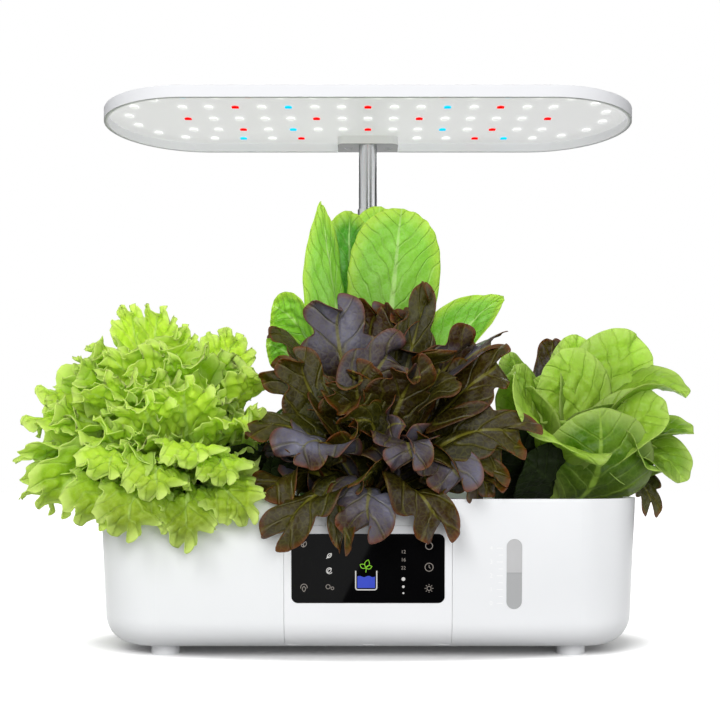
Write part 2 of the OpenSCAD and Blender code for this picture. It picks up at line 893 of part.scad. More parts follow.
// Stadium drawn in by inset, lying flat
module lamp_outline(inset) {
    r = lamp_d / 2 - inset;
    translate([0, lamp_y]) {
        square([2 * lamp_half, 2 * r], center = true);
        for (x = [-1, 1]) translate([x * lamp_half, 0]) circle(r = r);
    }
}

module lamp_bracket() {
    d = bracket_y1 - bracket_y0;
    color("#c9cbd0") difference() {
        translate([0, bracket_y0 + d / 2, lamp_z]) linear_extrude(board_face - lamp_z) {
            rounded(bracket_w, d, bracket_r);
            translate([-bracket_w / 2, 0]) square([bracket_w, d / 2]);
        }
        translate([0, pole_y, 0]) {
            cylinder(r = upper_r + 0.05, h = lamp_z + 4.05);
            cylinder(r = lead_r + 1, h = big);
        }
        for (x = [-bracket_screw_x, bracket_screw_x])
            translate([x, bracket_screw_y, 0]) {
                cylinder(r = 3.2, h = lamp_z + 2.6);
                cylinder(r = 1.7, h = big);
            }
    }
}

module bracket_screws() {
    color("#8d9094") for (x = [-bracket_screw_x, bracket_screw_x])
        translate([x, bracket_screw_y, lamp_z + 0.4]) {
            cylinder(r = 3, h = 2.2);
            cylinder(r = 1.5, h = lamp_t - 1.2);
        }
}

module lamp_housing() {
    color("#f6f7fa") difference() {
        union() {
            difference() {
                translate([0, 0, lamp_z]) linear_extrude(lamp_t) lamp_outline(0);
                translate([0, 0, lamp_z - 1])
                    linear_extrude(lamp_t - lamp_skin + 1) lamp_outline(lamp_rim);
            }
            for (x = [-bracket_screw_x, bracket_screw_x])
                translate([x, bracket_screw_y, board_face]) cylinder(r = 4, h = led_board_t + 0.5);
        }
        // notch for the bracket in the rear of the rim
        translate([-bracket_w / 2 - bracket_play, bracket_y0 + bracket_r + 1, lamp_z - 1])
            cube([bracket_w + 2 * bracket_play, lamp_d, board_face - lamp_z + 1]);
        for (x = [-bracket_screw_x, bracket_screw_x])
            translate([x, bracket_screw_y, lamp_z]) cylinder(r = 1.52, h = lamp_t - 0.6);
    }
}

module led_board() {
    color("#dcdddf") difference() {
        translate([0, 0, board_face]) linear_extrude(led_board_t - 0.02) lamp_outline(lamp_rim + 0.3);
        for (x = [-bracket_screw_x, bracket_screw_x])
            translate([x, bracket_screw_y, 0]) cylinder(r = 4.2, h = big);
    }
}

// Outer loop of lights: place number i of loop_n, anticlockwise from the rear middle
function loop_len() = 4 * lamp_half + 2 * PI * loop_r;
function loop_at(s) =
    let (l = loop_len(), t = (s % l + l) % l, h = lamp_half, arc = PI * loop_r)
    t < h ? [-t, loop_r] :
    t < h + arc ? [-h - loop_r * sin(180 * (t - h) / arc), loop_r * cos(180 * (t - h) / arc)] :
    t < 3 * h + arc ? [-h + (t - h - arc), -loop_r] :
    t < 3 * h + 2 * arc ? [
        h + loop_r * sin(180 * (t - 3 * h - arc) / arc),
        -loop_r * cos(180 * (t - 3 * h - arc) / arc)
    ] :
    [h - (t - 3 * h - 2 * arc), loop_r];

loop_shift = 7.5;
// One letter for each place of the loop: w white, r red, b blue, - left out
loop_kinds = "--rwbwwwwwwwbwrwwwwwrwbwwwwwwwwbrww-";
// Half rows from the middle outwards
row_kinds = ["rwwbwrww", "wwrwwwwr", "rwwbwrww"];

function row_leds(kind) = [
    for (row = [0 : 2], i = [-row_len : row_len])
        if (row_kinds[row][abs(i)] == kind) [i * led_pitch, lamp_y + (row - 1) * led_row]
];
function loop_leds(kind) = [
    for (i = [0 : loop_n - 1])
        if (loop_kinds[i] == kind)
            loop_at(loop_shift + i * loop_len() / loop_n) + [0, lamp_y]
];

module leds(kind) {
    for (at = concat(row_leds(kind), loop_leds(kind)))
        translate([at[0] - led_size[0] / 2, at[1] - led_size[1] / 2, board_face - led_t])
            cube([led_size[0], led_size[1], led_t]);
}

module leds_white() { color("#ffffff") leds("w"); }
module leds_red() { color("#ff1010") leds("r"); }
module leds_blue() { color("#10dcff") leds("b"); }

reservoir_tub();
grow_deck();
fill_flap();
flap_pin();
control_cover();
display_glass();
display_module();
control_board();
board_screws();
water_window();
window_gasket();
underside_cover();
underside_screws();
dc_inlet();
inlet_pin();
wiring_loom();
foot(-foot_x, -foot_y);  // foot_front_left
foot(foot_x, -foot_y);  // foot_front_right
foot(-foot_x, foot_y);  // foot_rear_left
foot(foot_x, foot_y);  // foot_rear_right
pump_body();
pump_strainer();
pump_shaft();
pump_impeller();
pump_suckers();
pump_hose();
pump_lead();
lead_grommet();
pole_socket();
pole_lower();
pole_upper();
pole_plug();
lamp_lead();
lamp_bracket();
bracket_screws();
lamp_housing();
led_board();
leds_white();
leds_red();
leds_blue();
basket(pod_at[0]);  // basket_left
basket(pod_at[1]);  // basket_front
basket(pod_at[2]);  // basket_rear
basket(pod_at[3]);  // basket_right
sponge(pod_at[0]);  // sponge_left
sponge(pod_at[1]);  // sponge_front
sponge(pod_at[2]);  // sponge_rear
sponge(pod_at[3]);  // sponge_right
lettuce_curly();
lettuce_oakleaf();
lettuce_romaine();
lettuce_butterhead();
hole_cover(spare_at[0]);  // hole_cover_front_left
hole_cover(spare_at[1]);  // hole_cover_front_right
hole_cover(spare_at[2]);  // hole_cover_rear_left
hole_cover(spare_at[3]);  // hole_cover_rear_right
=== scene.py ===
import math
from random import Random

import bmesh
import bpy
import numpy as np
from mathutils import Matrix, Vector


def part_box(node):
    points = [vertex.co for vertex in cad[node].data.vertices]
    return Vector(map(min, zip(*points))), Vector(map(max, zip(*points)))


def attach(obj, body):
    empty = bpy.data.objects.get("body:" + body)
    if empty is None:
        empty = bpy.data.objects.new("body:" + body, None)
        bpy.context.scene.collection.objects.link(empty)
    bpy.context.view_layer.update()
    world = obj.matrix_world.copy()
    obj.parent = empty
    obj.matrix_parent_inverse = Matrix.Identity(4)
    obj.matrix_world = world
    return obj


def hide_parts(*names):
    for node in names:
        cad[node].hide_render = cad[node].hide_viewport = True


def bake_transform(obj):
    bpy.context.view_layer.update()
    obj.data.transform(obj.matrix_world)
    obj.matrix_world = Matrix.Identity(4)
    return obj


# A countertop hydroponic garden: white water tub with a planting deck and four
# lettuces, a touch panel, and a grow lamp on a telescopic steel pole.
# Metres, +Z up, -Y towards the user. The origin is the middle of the four feet.

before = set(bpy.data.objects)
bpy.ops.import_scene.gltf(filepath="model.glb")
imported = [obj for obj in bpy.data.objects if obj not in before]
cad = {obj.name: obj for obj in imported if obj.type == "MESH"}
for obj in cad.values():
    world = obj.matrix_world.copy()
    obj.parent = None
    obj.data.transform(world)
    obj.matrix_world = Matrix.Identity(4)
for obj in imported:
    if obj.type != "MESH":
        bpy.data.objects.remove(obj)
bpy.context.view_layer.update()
scene = bpy.context.scene
scene.view_settings.view_transform = "Standard"

MM = 0.001
SPOTS = ("front_left", "front_right", "rear_left", "rear_right")
KINDS = dict(left="curly", front="oakleaf", rear="romaine", right="butterhead")


# ---------- helpers ----------

def linear(code):
    """Linear RGBA of an sRGB hex colour."""
    parts = [int(code[i:i + 2], 16) / 255 for i in (1, 3, 5)]
    return tuple(p / 12.92 if p <= 0.04045 else ((p + 0.055) / 1.055) ** 2.4 for p in parts) + (1.0,)


def add(tree, kind, links=None, **settings):
    """A new shader node with its settings. Links gives its inputs as values, as hex colours, as
    other nodes' sockets, or as nodes, whose first live output is then meant."""
    node = tree.nodes.new("ShaderNode" + kind)
    for key, value in settings.items():
        setattr(node, key, value)
    for key, value in (links or {}).items():
        if isinstance(value, bpy.types.Node):
            value = next(socket for socket in value.outputs if socket.enabled)
        if isinstance(value, bpy.types.NodeSocket):
            tree.links.new(value, node.inputs[key])
        else:
            node.inputs[key].default_value = linear(value) if isinstance(value, str) else value
    return node


def new_material(name):
    """A material, its node tree and the Object coordinates in it."""
    material = bpy.data.materials.new(name)
    material.use_nodes = True
    tree = material.node_tree
    tree.nodes.clear()
    return material, tree, add(tree, "TexCoord").outputs["Object"]


def surfaced(material, shader):
    """The material, with its shader as its surface."""
    add(material.node_tree, "OutputMaterial", {"Surface": shader})
    return material


def mesh_of(name, bm):
    """The mesh that a bmesh is emptied into."""
    mesh = bpy.data.meshes.new(name)
    bm.to_mesh(mesh)
    bm.free()
    return mesh


def new_object(name, data, material=None):
    """An object in the scene, at the origin, with its material."""
    if material:
        data.materials.append(material)
    thing = bpy.data.objects.new(name, data)
    scene.collection.objects.link(thing)
    return thing


def finish_piece(name, mesh, material, body):
    """A finished piece of the object, from its mesh or bmesh, riding on a body."""
    if isinstance(mesh, bmesh.types.BMesh):
        mesh = mesh_of(name, mesh)
    piece = new_object(name, mesh, material)
    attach(piece, body)
    return piece


# ---------- camera, stage and light ----------

# The photograph's view is level, a little above the tub's rim, and framed by a
# shifted lens: its verticals stay parallel. The horizon lies 101.5 pixels under
# the picture's middle, and the object's middle line 7 pixels right of it.
IMAGE = 720
SENSOR = 36
FOCAL_PIXELS = 1112.6
HORIZON_BELOW = 101.5
MIDDLE_RIGHT = 7
EYE = Vector((-0.73, -886.9, 142.7)) * MM


def add_camera():
    data = bpy.data.cameras.new("camera")
    data.sensor_width = SENSOR
    data.lens = SENSOR * FOCAL_PIXELS / IMAGE
    data.shift_x = -MIDDLE_RIGHT / IMAGE
    data.shift_y = HORIZON_BELOW / IMAGE
    camera = new_object("camera", data)
    camera.location = EYE
    camera.rotation_euler = (math.radians(90), 0, 0)
    scene.camera = camera


def seen_ray(tree):
    """1 for rays of the camera and for those that mirror or pass through, else 0."""
    path = add(tree, "LightPath").outputs
    sharp = add(tree, "Math", {0: path["Is Glossy Ray"], 1: path["Is Transmission Ray"]},
                operation="ADD")
    return add(tree, "Math", {0: path["Is Camera Ray"], 1: sharp}, operation="ADD", use_clamp=True)


WORLD_LEVEL = 0.34


def add_world():
    """White all round: dim as a light, full white where it is seen."""
    world = bpy.data.worlds.new("studio")
    scene.world = world
    world.use_nodes = True
    tree = world.node_tree
    tree.nodes.clear()
    around = add(tree, "Background", {"Color": "#ffffff", "Strength": WORLD_LEVEL})
    behind = add(tree, "Background", {"Color": "#ffffff", "Strength": 1.0})
    both = add(tree, "MixShader", {0: seen_ray(tree), 1: around, 2: behind})
    add(tree, "OutputWorld", {"Surface": both})


# The shadow's ellipse by its half axes. The paper's own light grows from SHADOW_LIFT
# to PAPER_LIGHT between two shares of them.
SHADOW_HALF = (0.26, 0.11)
SHADOW_LIFT = 0.02
PAPER_LIGHT = 0.9
FADE_FROM, FADE_TO = 0.76, 1.02


def add_floor():
    """White paper sweep. It keeps the object's shadow, and shows pure white further out."""
    bm = bmesh.new()
    bmesh.ops.create_grid(bm, x_segments=1, y_segments=1, size=4)
    material, tree, place = new_material("backdrop_paper")
    grain = add(tree, "TexNoise", {"Vector": place, "Scale": 400.0})
    paper = add(tree, "Mix", {"Factor": grain, "A": "#9a9a9a", "B": "#a2a2a2"}, data_type="RGBA")
    seen = seen_ray(tree)
    bright = add(tree, "Mix", {"Factor": seen, "A": paper, "B": "#ffffff"}, data_type="RGBA")
    matt = add(tree, "BsdfDiffuse", {"Color": bright})
    spread = add(tree, "Mapping", {"Vector": place, "Scale": (1 / SHADOW_HALF[0], 1 / SHADOW_HALF[1], 1.0)})
    away = add(tree, "VectorMath", {0: spread}, operation="LENGTH")
    lift = add(tree, "MapRange", {"Value": away, "From Min": FADE_FROM, "From Max": FADE_TO,
                                  "To Min": SHADOW_LIFT, "To Max": PAPER_LIGHT},
               interpolation_type="SMOOTHSTEP")
    shown = add(tree, "Math", {0: seen, 1: lift}, operation="MULTIPLY")
    glow = add(tree, "Emission", {"Color": "#ffffff", "Strength": shown})
    surfaced(material, add(tree, "AddShader", {0: matt, 1: glow}))
    new_object("floor", mesh_of("floor", bm), material)


def add_softbox(name, place, aim, width, height, power):
    data = bpy.data.lights.new(name, "AREA")
    data.shape = "RECTANGLE"
    data.size = width
    data.size_y = height
    data.energy = power
    light = new_object(name, data)
    light.location = place
    light.rotation_euler = (Vector(aim) - Vector(place)).to_track_quat("-Z", "Y").to_euler()


def add_flag(name, corners, level=0.0):
    """A card that only mirrors see: it draws streaks on bright metal and glass. Level is its own
    light, 0 for dark felt and 1 for white."""
    bm = bmesh.new()
    bm.faces.new([bm.verts.new(Vector(c)) for c in corners])
    material, tree, _ = new_material(name + "_felt")
    fibre = add(tree, "TexNoise", {"Scale": 900.0})
    felt = add(tree, "Mix", {"Factor": fibre, "A": "#101010", "B": "#1c1c1c"}, data_type="RGBA")
    cloth = add(tree, "BsdfDiffuse", {"Color": felt})
    lit = add(tree, "Emission", {"Color": "#ffffff", "Strength": level})
    surfaced(material, add(tree, "AddShader", {0: cloth, 1: lit}))
    card = new_object(name, mesh_of(name, bm), material)
    card.visible_camera = False
    card.visible_diffuse = False
    card.visible_shadow = False
    card.visible_transmission = False


add_camera()
add_world()
add_floor()
add_softbox("key", (-0.6, -2.0, 1.3), (0, 0, 0.15), 1.2, 1.0, 29)
add_softbox("fill", (0.5, -1.9, 0.5), (0, 0, 0.12), 1.0, 0.8, 12.5)
add_softbox("rear", (0.2, 1.3, 1.1), (0, 0, 0.25), 1.4, 0.8, 9)
# The floor card's left edge shows as the slanting border of the light in the display
add_flag("flag_floor", [(0.0113, -0.695, 0.001), (0.6, -0.695, 0.001), (0.6, -0.2, 0.001),
                        (-0.0300, -0.2, 0.001)])
# Tall cards stand round the stage: dark ones between bright ones draw the streaks along
# the pole. Each has its two edges' bearings from straight ahead of the pole, in degrees,
# and its level.
CARD_OFF = 1.2
CARD_HEIGHT = 1.9
CARDS = ((-150, -114, 0.1), (-114, -96, 0.4), (-96, -78, 0.75), (-78, -40, 1.05), (-40, -20, 0.75),
         (-20, 2, 0.0), (2, 19, 1.2), (19, 47, 0.05), (47, 57, 0.9), (57, 78, 1.9), (78, 92, 1.1),
         (92, 104, 0.4), (104, 150, 0.0))


def add_cards():
    """The tall cards, each upright between its two bearings."""
    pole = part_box("pole_lower")
    middle = (pole[0] + pole[1]) / 2
    for i, (start, end, level) in enumerate(CARDS):
        (x0, y0), (x1, y1) = [(middle.x + CARD_OFF * math.sin(math.radians(a)),
                               middle.y - CARD_OFF * math.cos(math.radians(a))) for a in (start, end)]
        add_flag(f"card_{i}", [(x0, y0, 0), (x1, y1, 0), (x1, y1, CARD_HEIGHT), (x0, y0, CARD_HEIGHT)],
                 level)


add_cards()


# ---------- materials of the hard parts ----------

def moulded(name, colour, roughness, clouded):
    """Injection-moulded plastic: an even colour with faint flow clouding and a fine spark-eroded
    grain, 0.35 mm, drawn coarser than life so that it shows."""
    material, tree, place = new_material(name)
    cloud = add(tree, "TexNoise", {"Vector": place, "Scale": 14.0, "Detail": 3.0})
    grain = add(tree, "TexNoise", {"Vector": place, "Scale": 1 / (0.35 * MM), "Detail": 2.0})
    tint = add(tree, "Mix", {"Factor": cloud, "A": colour, "B": clouded}, data_type="RGBA")
    dull = add(tree, "MapRange", {"Value": cloud, "To Min": roughness - 0.03,
                                  "To Max": roughness + 0.04})
    bump = add(tree, "Bump", {"Height": grain, "Strength": 0.12, "Distance": 0.02 * MM})
    return surfaced(material, add(tree, "BsdfPrincipled", {
        "Base Color": tint, "Roughness": dull, "IOR": 1.5, "Normal": bump}))


def varied(name, scale, inputs, detail=2.0):
    """A finish that follows a noise in each input that is given as a pair of ends."""
    material, tree, place = new_material(name)
    noise = add(tree, "TexNoise", {"Vector": place, "Scale": scale, "Detail": detail})
    for key, ends in inputs.items():
        if isinstance(ends, tuple) and isinstance(ends[0], str):
            inputs[key] = add(tree, "Mix", {"Factor": noise, "A": ends[0], "B": ends[1]}, data_type="RGBA")
        elif isinstance(ends, tuple):
            inputs[key] = add(tree, "MapRange", {"Value": noise, "To Min": ends[0], "To Max": ends[1]})
    return surfaced(material, add(tree, "BsdfPrincipled", inputs))


def shader_of(material):
    """A material's Principled shader."""
    return next(n for n in material.node_tree.nodes if n.type == "BSDF_PRINCIPLED")


def lamp_white():
    """The lamp's white ABS, duller than the tub's. Its inner wall, found by its distance from the
    lamp's middle line, has a painted glow, an emission that stands for the diodes' light on it;
    the outer face hasn't."""
    half_straight, inner, middle_y = 138 * MM, 72.6 * MM, 19 * MM
    painted_glow_strength = 0.17
    material = moulded("abs_white_lamp", "#e7e8eb", 0.5, "#ecedf0")
    tree = material.node_tree
    spot = add(tree, "SeparateXYZ", {"Vector": add(tree, "TexCoord").outputs["Object"]}).outputs
    along = add(tree, "Math", {0: spot["X"]}, operation="ABSOLUTE")
    past = add(tree, "Math", {0: along, 1: half_straight}, operation="SUBTRACT")
    past = add(tree, "Math", {0: past, 1: 0.0}, operation="MAXIMUM")
    back = add(tree, "Math", {0: spot["Y"], 1: middle_y}, operation="SUBTRACT")
    flat = add(tree, "CombineXYZ", {"X": past, "Y": back})
    away = add(tree, "VectorMath", {0: flat}, operation="LENGTH")
    painted_glow = add(tree, "MapRange", {"Value": away, "From Min": inner, "From Max": inner + 1 * MM,
                                   "To Min": painted_glow_strength, "To Max": 0.0})
    shader = shader_of(material)
    shader.inputs["Specular IOR Level"].default_value = 0.1
    shader.inputs["Emission Color"].default_value = linear("#ffffff")
    tree.links.new(painted_glow.outputs[0], shader.inputs["Emission Strength"])
    return material


def abs_grey():
    """Light grey ABS of the lamp's bracket, with painted shade on its underside: faces that look down are
    darker grey.
    """
    material = moulded("abs_light_grey", "#fafafc", 0.42, "#ffffff")
    tree = material.node_tree
    normal = add(tree, "NewGeometry").outputs["Normal"]
    facing = add(tree, "SeparateXYZ", {"Vector": normal}).outputs
    painted_underside_shade = add(tree, "MapRange", {"Value": facing["Z"], "From Min": -0.9, "From Max": -0.5,
                                   "To Min": 1.0, "To Max": 0.0})
    colour = shader_of(material).inputs["Base Color"]
    tint = add(tree, "Mix", {"Factor": painted_underside_shade, "A": colour.links[0].from_socket, "B": "#88888b"},
               data_type="RGBA")
    tree.links.new(tint.outputs["Result"], colour)
    return material


WATER_LEVEL = 63.5 * MM


def window_frosted():
    """Frosted polycarbonate lens: grey, darker where water stands behind it, most so at its top."""
    material, tree, place = new_material("polycarbonate_frosted")
    height = add(tree, "SeparateXYZ", {"Vector": place}).outputs["Z"]
    wet = add(tree, "MapRange", {"Value": height, "From Min": WATER_LEVEL - 0.15 * MM,
                                 "From Max": WATER_LEVEL + 0.15 * MM, "To Min": 1.0, "To Max": 0.0})
    rim = add(tree, "MapRange", {"Value": height, "From Min": WATER_LEVEL - 1.6 * MM,
                                 "From Max": WATER_LEVEL, "To Min": 0.0, "To Max": 0.5})
    cloud = add(tree, "TexNoise", {"Vector": place, "Scale": 60.0, "Detail": 3.0})
    dry = add(tree, "Mix", {"Factor": cloud, "A": "#bfbfc0", "B": "#cbcbcc"}, data_type="RGBA")
    water = add(tree, "Mix", {"Factor": rim, "A": "#b2b3b4", "B": "#98999c"}, data_type="RGBA")
    tint = add(tree, "Mix", {"Factor": wet, "A": dry, "B": water}, data_type="RGBA")
    return surfaced(material, add(tree, "BsdfPrincipled", {
        "Base Color": tint, "Roughness": 0.28, "IOR": 1.58, "Coat Weight": 0.3,
        "Coat Roughness": 0.08}))


def steel_polished():
    """Stainless tube, polished on a belt that runs round it: reflections are drawn out along the
    tube and stay sharp across it, with faint draw lines every 0.5 mm."""
    material, tree, place = new_material("stainless_steel_polished")
    drawn = add(tree, "Mapping", {"Vector": place, "Scale": (1.0, 1.0, 0.01)})
    lines = add(tree, "TexNoise", {"Vector": drawn, "Scale": 1 / (0.5 * MM), "Detail": 2.0})
    dull = add(tree, "MapRange", {"Value": lines, "To Min": 0.2, "To Max": 0.24})
    round_it = add(tree, "Tangent", direction_type="RADIAL", axis="Z")
    tint = add(tree, "Mix", {"Factor": lines, "A": "#c6c7ca", "B": "#dcdddf"}, data_type="RGBA")
    return surfaced(material, add(tree, "BsdfPrincipled", {
        "Base Color": tint, "Roughness": dull, "Metallic": 1.0, "Anisotropic": 1.0,
        "Anisotropic Rotation": 0.25, "Tangent": round_it}))


def metal(name, dark, light, roughness):
    """Plain turned or plated metal: its colour and gloss vary with the tool marks, 0.4 mm apart."""
    return varied(name, 1 / (0.4 * MM), {"Base Color": (dark, light), "Metallic": 1.0,
                                         "Roughness": (roughness - 0.05, roughness + 0.08)})


def circuit_board():
    """Glass-fibre board under green solder mask: tracks show as lighter lines, 2.5 mm apart."""
    material, tree, place = new_material("fr4_green_mask")
    tracks = add(tree, "TexBrick", {
        "Vector": place, "Color1": "#1f6b3a", "Color2": "#1b6035", "Mortar": "#3f8f58",
        "Scale": 1 / (10 * MM), "Mortar Size": 0.015, "Brick Width": 0.5, "Row Height": 0.25})
    return surfaced(material, add(tree, "BsdfPrincipled", {
        "Base Color": tracks, "Roughness": 0.35, "IOR": 1.5}))


# Strength of the painted glow on the LED board, which also lifts the glow round each diode
PAINTED_BOARD_GLOW = 0.4


def led_resin(name, colour, strength):
    """Lit diode under clear resin. A fine noise keeps it from looking flat."""
    return varied(name, 1 / (2 * MM), {
        "Base Color": colour, "Roughness": 0.3, "IOR": 1.5, "Specular IOR Level": 0.0,
        "Emission Color": colour, "Emission Strength": (0.9 * strength, 1.1 * strength)})


def led_glow(name, colour, strength, core):
    """Painted light of a diode on the board round it, in its tint and its emission: it fades from the
    core's edge to the disc's.
    """
    material, tree, _ = new_material(name)
    middle = add(tree, "Mapping", {"Vector": add(tree, "UVMap", uv_map="disc"),
                                   "Location": (-1.0, -1.0, 0.0), "Scale": (2.0, 2.0, 1.0)})
    reach = add(tree, "VectorMath", {0: middle}, operation="LENGTH")
    fade = add(tree, "MapRange", {"Value": reach, "From Min": core, "From Max": 1.0, "To Min": 1.0,
                                  "To Max": 0.0}, interpolation_type="SMOOTHERSTEP")
    shine = add(tree, "Math", {0: fade, 1: strength, 2: PAINTED_BOARD_GLOW}, operation="MULTIPLY_ADD")
    tint = add(tree, "Mix", {"Factor": fade, "A": "#c9c9cb", "B": colour}, data_type="RGBA")
    light = add(tree, "Mix", {"Factor": fade, "A": "#ffffff", "B": colour}, data_type="RGBA")
    return surfaced(material, add(tree, "BsdfPrincipled", {
        "Base Color": tint, "Roughness": 0.45, "Emission Color": light, "Emission Strength": shine}))


def screen_ink(name, colour, strength):
    """Lit symbol behind the glass: a back-lit print, a little uneven."""
    return varied(name, 1 / (6 * MM), {
        "Base Color": "#101012", "Roughness": 0.3, "IOR": 1.5, "Emission Color": colour,
        "Emission Strength": (0.85 * strength, 1.1 * strength)})


def dress(material, *names):
    """Gives CAD nodes a material."""
    for name in names:
        data = cad[name].data
        data.materials.clear()
        data.materials.append(material)


# Glossy white ABS: soft, slightly cool
dress(moulded("abs_white_glossy", "#eef0f2", 0.3, "#f4f5f7"), "reservoir_tub", "grow_deck",
      "fill_flap", *("hole_cover_" + spot for spot in SPOTS))
# Satin white ABS, a touch brighter than the tub
dress(moulded("abs_white_satin", "#f0f1f3", 0.36, "#f5f6f8"), "control_cover", "underside_cover",
      "pump_impeller", *("foot_" + spot for spot in SPOTS))
# Matt black ABS
dress(moulded("abs_black_matt", "#232427", 0.5, "#2d2f33"), "display_module", "pump_body",
      "pump_strainer", "dc_inlet", "pole_plug")
# Polypropylene: waxy, milky
dress(moulded("polypropylene_white", "#e6e8e6", 0.45, "#eff0ee"), *("basket_" + pod for pod in KINDS))
# Acetal: waxy grey
dress(moulded("acetal_grey", "#9a9ca0", 0.34, "#a6a8ac"), "pole_socket")
# Nitrile rubber: dull, nearly black
dress(moulded("nitrile_rubber_black", "#202123", 0.75, "#2b2c2e"), "window_gasket", "pump_suckers",
      "lead_grommet")
# PVC sheath of the leads: black with a low sheen
pvc = moulded("pvc_black", "#17181a", 0.55, "#222326")
dress(pvc, "wiring_loom", "pump_lead", "lamp_lead")
dress(lamp_white(), "lamp_housing")
dress(abs_grey(), "lamp_bracket")
# Tempered glass, printed black behind: deep and mirror smooth, with a faint haze
dress(varied("glass_printed_black", 25.0, {"Base Color": ("#050506", "#0a0a0b"), "IOR": 1.5,
                                           "Roughness": (0.03, 0.07), "Specular IOR Level": 0.07},
             detail=4.0), "display_glass")
dress(window_frosted(), "water_window")
dress(circuit_board(), "control_board")
# White solder mask on the lamp's aluminium board, with a painted glow all over: an emission that stands for
# its own diodes' light
dress(varied("solder_mask_white", 30.0, {
    "Base Color": ("#c6c6c8", "#ccccce"), "Roughness": 0.45, "Emission Color": "#ffffff",
    "Emission Strength": (0.96 * PAINTED_BOARD_GLOW, 1.04 * PAINTED_BOARD_GLOW)}), "led_board")
# Silicone hose: milky, slightly yellow
dress(varied("silicone_milky", 80.0, {"Base Color": ("#d6dad8", "#e6e9e4"), "Roughness": 0.35,
                                      "IOR": 1.41}), "pump_hose")
dress(steel_polished(), "pole_lower", "pole_upper")
dress(metal("zinc_plated_steel", "#a9acb0", "#c4c6c9", 0.3), "board_screws", "underside_screws",
      "flap_pin", "pump_shaft")
dress(metal("nickel_plated_dull", "#7c7c7f", "#88888b", 0.55), "bracket_screws")
dress(metal("brass_turned", "#b48a3c", "#d8b25a", 0.3), "inlet_pin")


# ---------- lamp: the diodes and the light round each ----------

def islands(bm):
    """The separate solids of a mesh, each as its list of vertices."""
    left = set(bm.verts)
    found = []
    while left:
        group, front = [], [left.pop()]
        while front:
            vertex = front.pop()
            group.append(vertex)
            for edge in vertex.link_edges:
                other = edge.other_vert(vertex)
                if other in left:
                    left.remove(other)
                    front.append(other)
        found.append(group)
    return found


def middles(name):
    """The middle of each diode, from its node's mesh."""
    bm = bmesh.new()
    bm.from_mesh(cad[name].data)
    bmesh.ops.remove_doubles(bm, verts=bm.verts, dist=0.01 * MM)
    found = [sum((v.co for v in group), Vector()) / len(group) for group in islands(bm)]
    bm.free()
    return sorted(found, key=lambda p: (round(p.y, 4), p.x))


GLOW_OFF = 0.12 * MM


def add_glow(name, diodes, material, wide, deep):
    """Thin round patches of painted light on the board's face, one round each diode, just clear of it."""
    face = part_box("led_board")[0].z - GLOW_OFF
    bm = bmesh.new()
    disc = bm.loops.layers.uv.new("disc")
    for middle in middles(diodes):
        place = Matrix.Translation((middle.x, middle.y, face)) @ Matrix.Diagonal((wide, deep, 1, 1))
        made = bmesh.ops.create_circle(bm, cap_ends=True, segments=28, radius=1, matrix=place)
        for patch in {f for v in made["verts"] for f in v.link_faces}:
            bmesh.ops.poke(bm, faces=[patch])
        for patch in {f for v in made["verts"] for f in v.link_faces}:
            patch.normal_flip()
            for loop in patch.loops:
                off = loop.vert.co - middle
                loop[disc].uv = (0.5 + off.x / (2 * wide), 0.5 + off.y / (2 * deep))
    finish_piece(name, bm, material, "lamp")


# Each colour's light and strength; its glow's colour, strength and core, and half axes in mm
for tone, light, strength, halo, glow, core, wide, deep in (
        ("white", "#ffffff", 0.6, "#ffffff", 0.36, 0.1, 6.2, 9.6),
        ("red", "#ff0808", 0.9, "#ff2a2a", 0.3, 0.4, 3.8, 5.4),
        ("blue", "#08d0ff", 0.85, "#30d4ff", 0.4, 0.5, 3.6, 5.4)):
    dress(led_resin("led_resin_" + tone, light, strength), "leds_" + tone)
    add_glow("glow_" + tone, "leds_" + tone, led_glow("board_lit_" + tone, halo, glow, core),
             wide * MM, deep * MM)


# ---------- the lamp's lead, which pays out inside the telescopic pole ----------

LEAD_CUTS = 40


def add_lead():
    """The lead as a rod in many rows along the pole."""
    low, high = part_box("lamp_lead")
    middle, radius = (low + high) / 2, (high.x - low.x) / 2
    bm = bmesh.new()
    bmesh.ops.create_cone(bm, cap_ends=True, segments=24, radius1=radius, radius2=radius,
                          depth=high.z - low.z, matrix=Matrix.Translation(middle))
    upright = [e for e in bm.edges if abs(e.verts[0].co.z - e.verts[1].co.z) > MM]
    bmesh.ops.subdivide_edges(bm, edges=upright, cuts=LEAD_CUTS)
    lead = new_object("lamp_lead_pvc", mesh_of("lamp_lead_pvc", bm), pvc)
    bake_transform(lead)
    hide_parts("lamp_lead")


add_lead()


# ---------- panel: lit symbols and the water scale ----------

# The front's slope; in millimetres, how far a drawing stands proud of it and half a lit area's
# thickness; and how flat a drawn line is pressed
DRAFT = math.radians(2.5)
PROUD = 0.12
SUNK = 0.03
PRESSED = 0.15
panel_low, panel_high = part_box("display_glass")


def panel_place(x, z, proud=PROUD):
    """Stands a flat drawing, made in X and Y in millimetres, up on the tub's sloping front."""
    away = (panel_high.z - z * MM) * math.tan(DRAFT)
    spot = Vector((x * MM, panel_low.y + away - proud * MM, z * MM))
    turn = Matrix.Rotation(math.radians(90) + DRAFT, 4, "X")
    return Matrix.Translation(spot) @ turn @ Matrix.Scale(MM, 4)


def baked(name, data, x, z):
    """The mesh of a curve or text, flattened to a thin plate and put in its place."""
    drawn = new_object(name, data)
    bpy.context.view_layer.update()
    mesh = bpy.data.meshes.new_from_object(drawn.evaluated_get(bpy.context.evaluated_depsgraph_get()))
    bpy.data.objects.remove(drawn)
    mesh.transform(Matrix.Diagonal((1, 1, PRESSED, 1)))
    mesh.transform(panel_place(x, z))
    return mesh


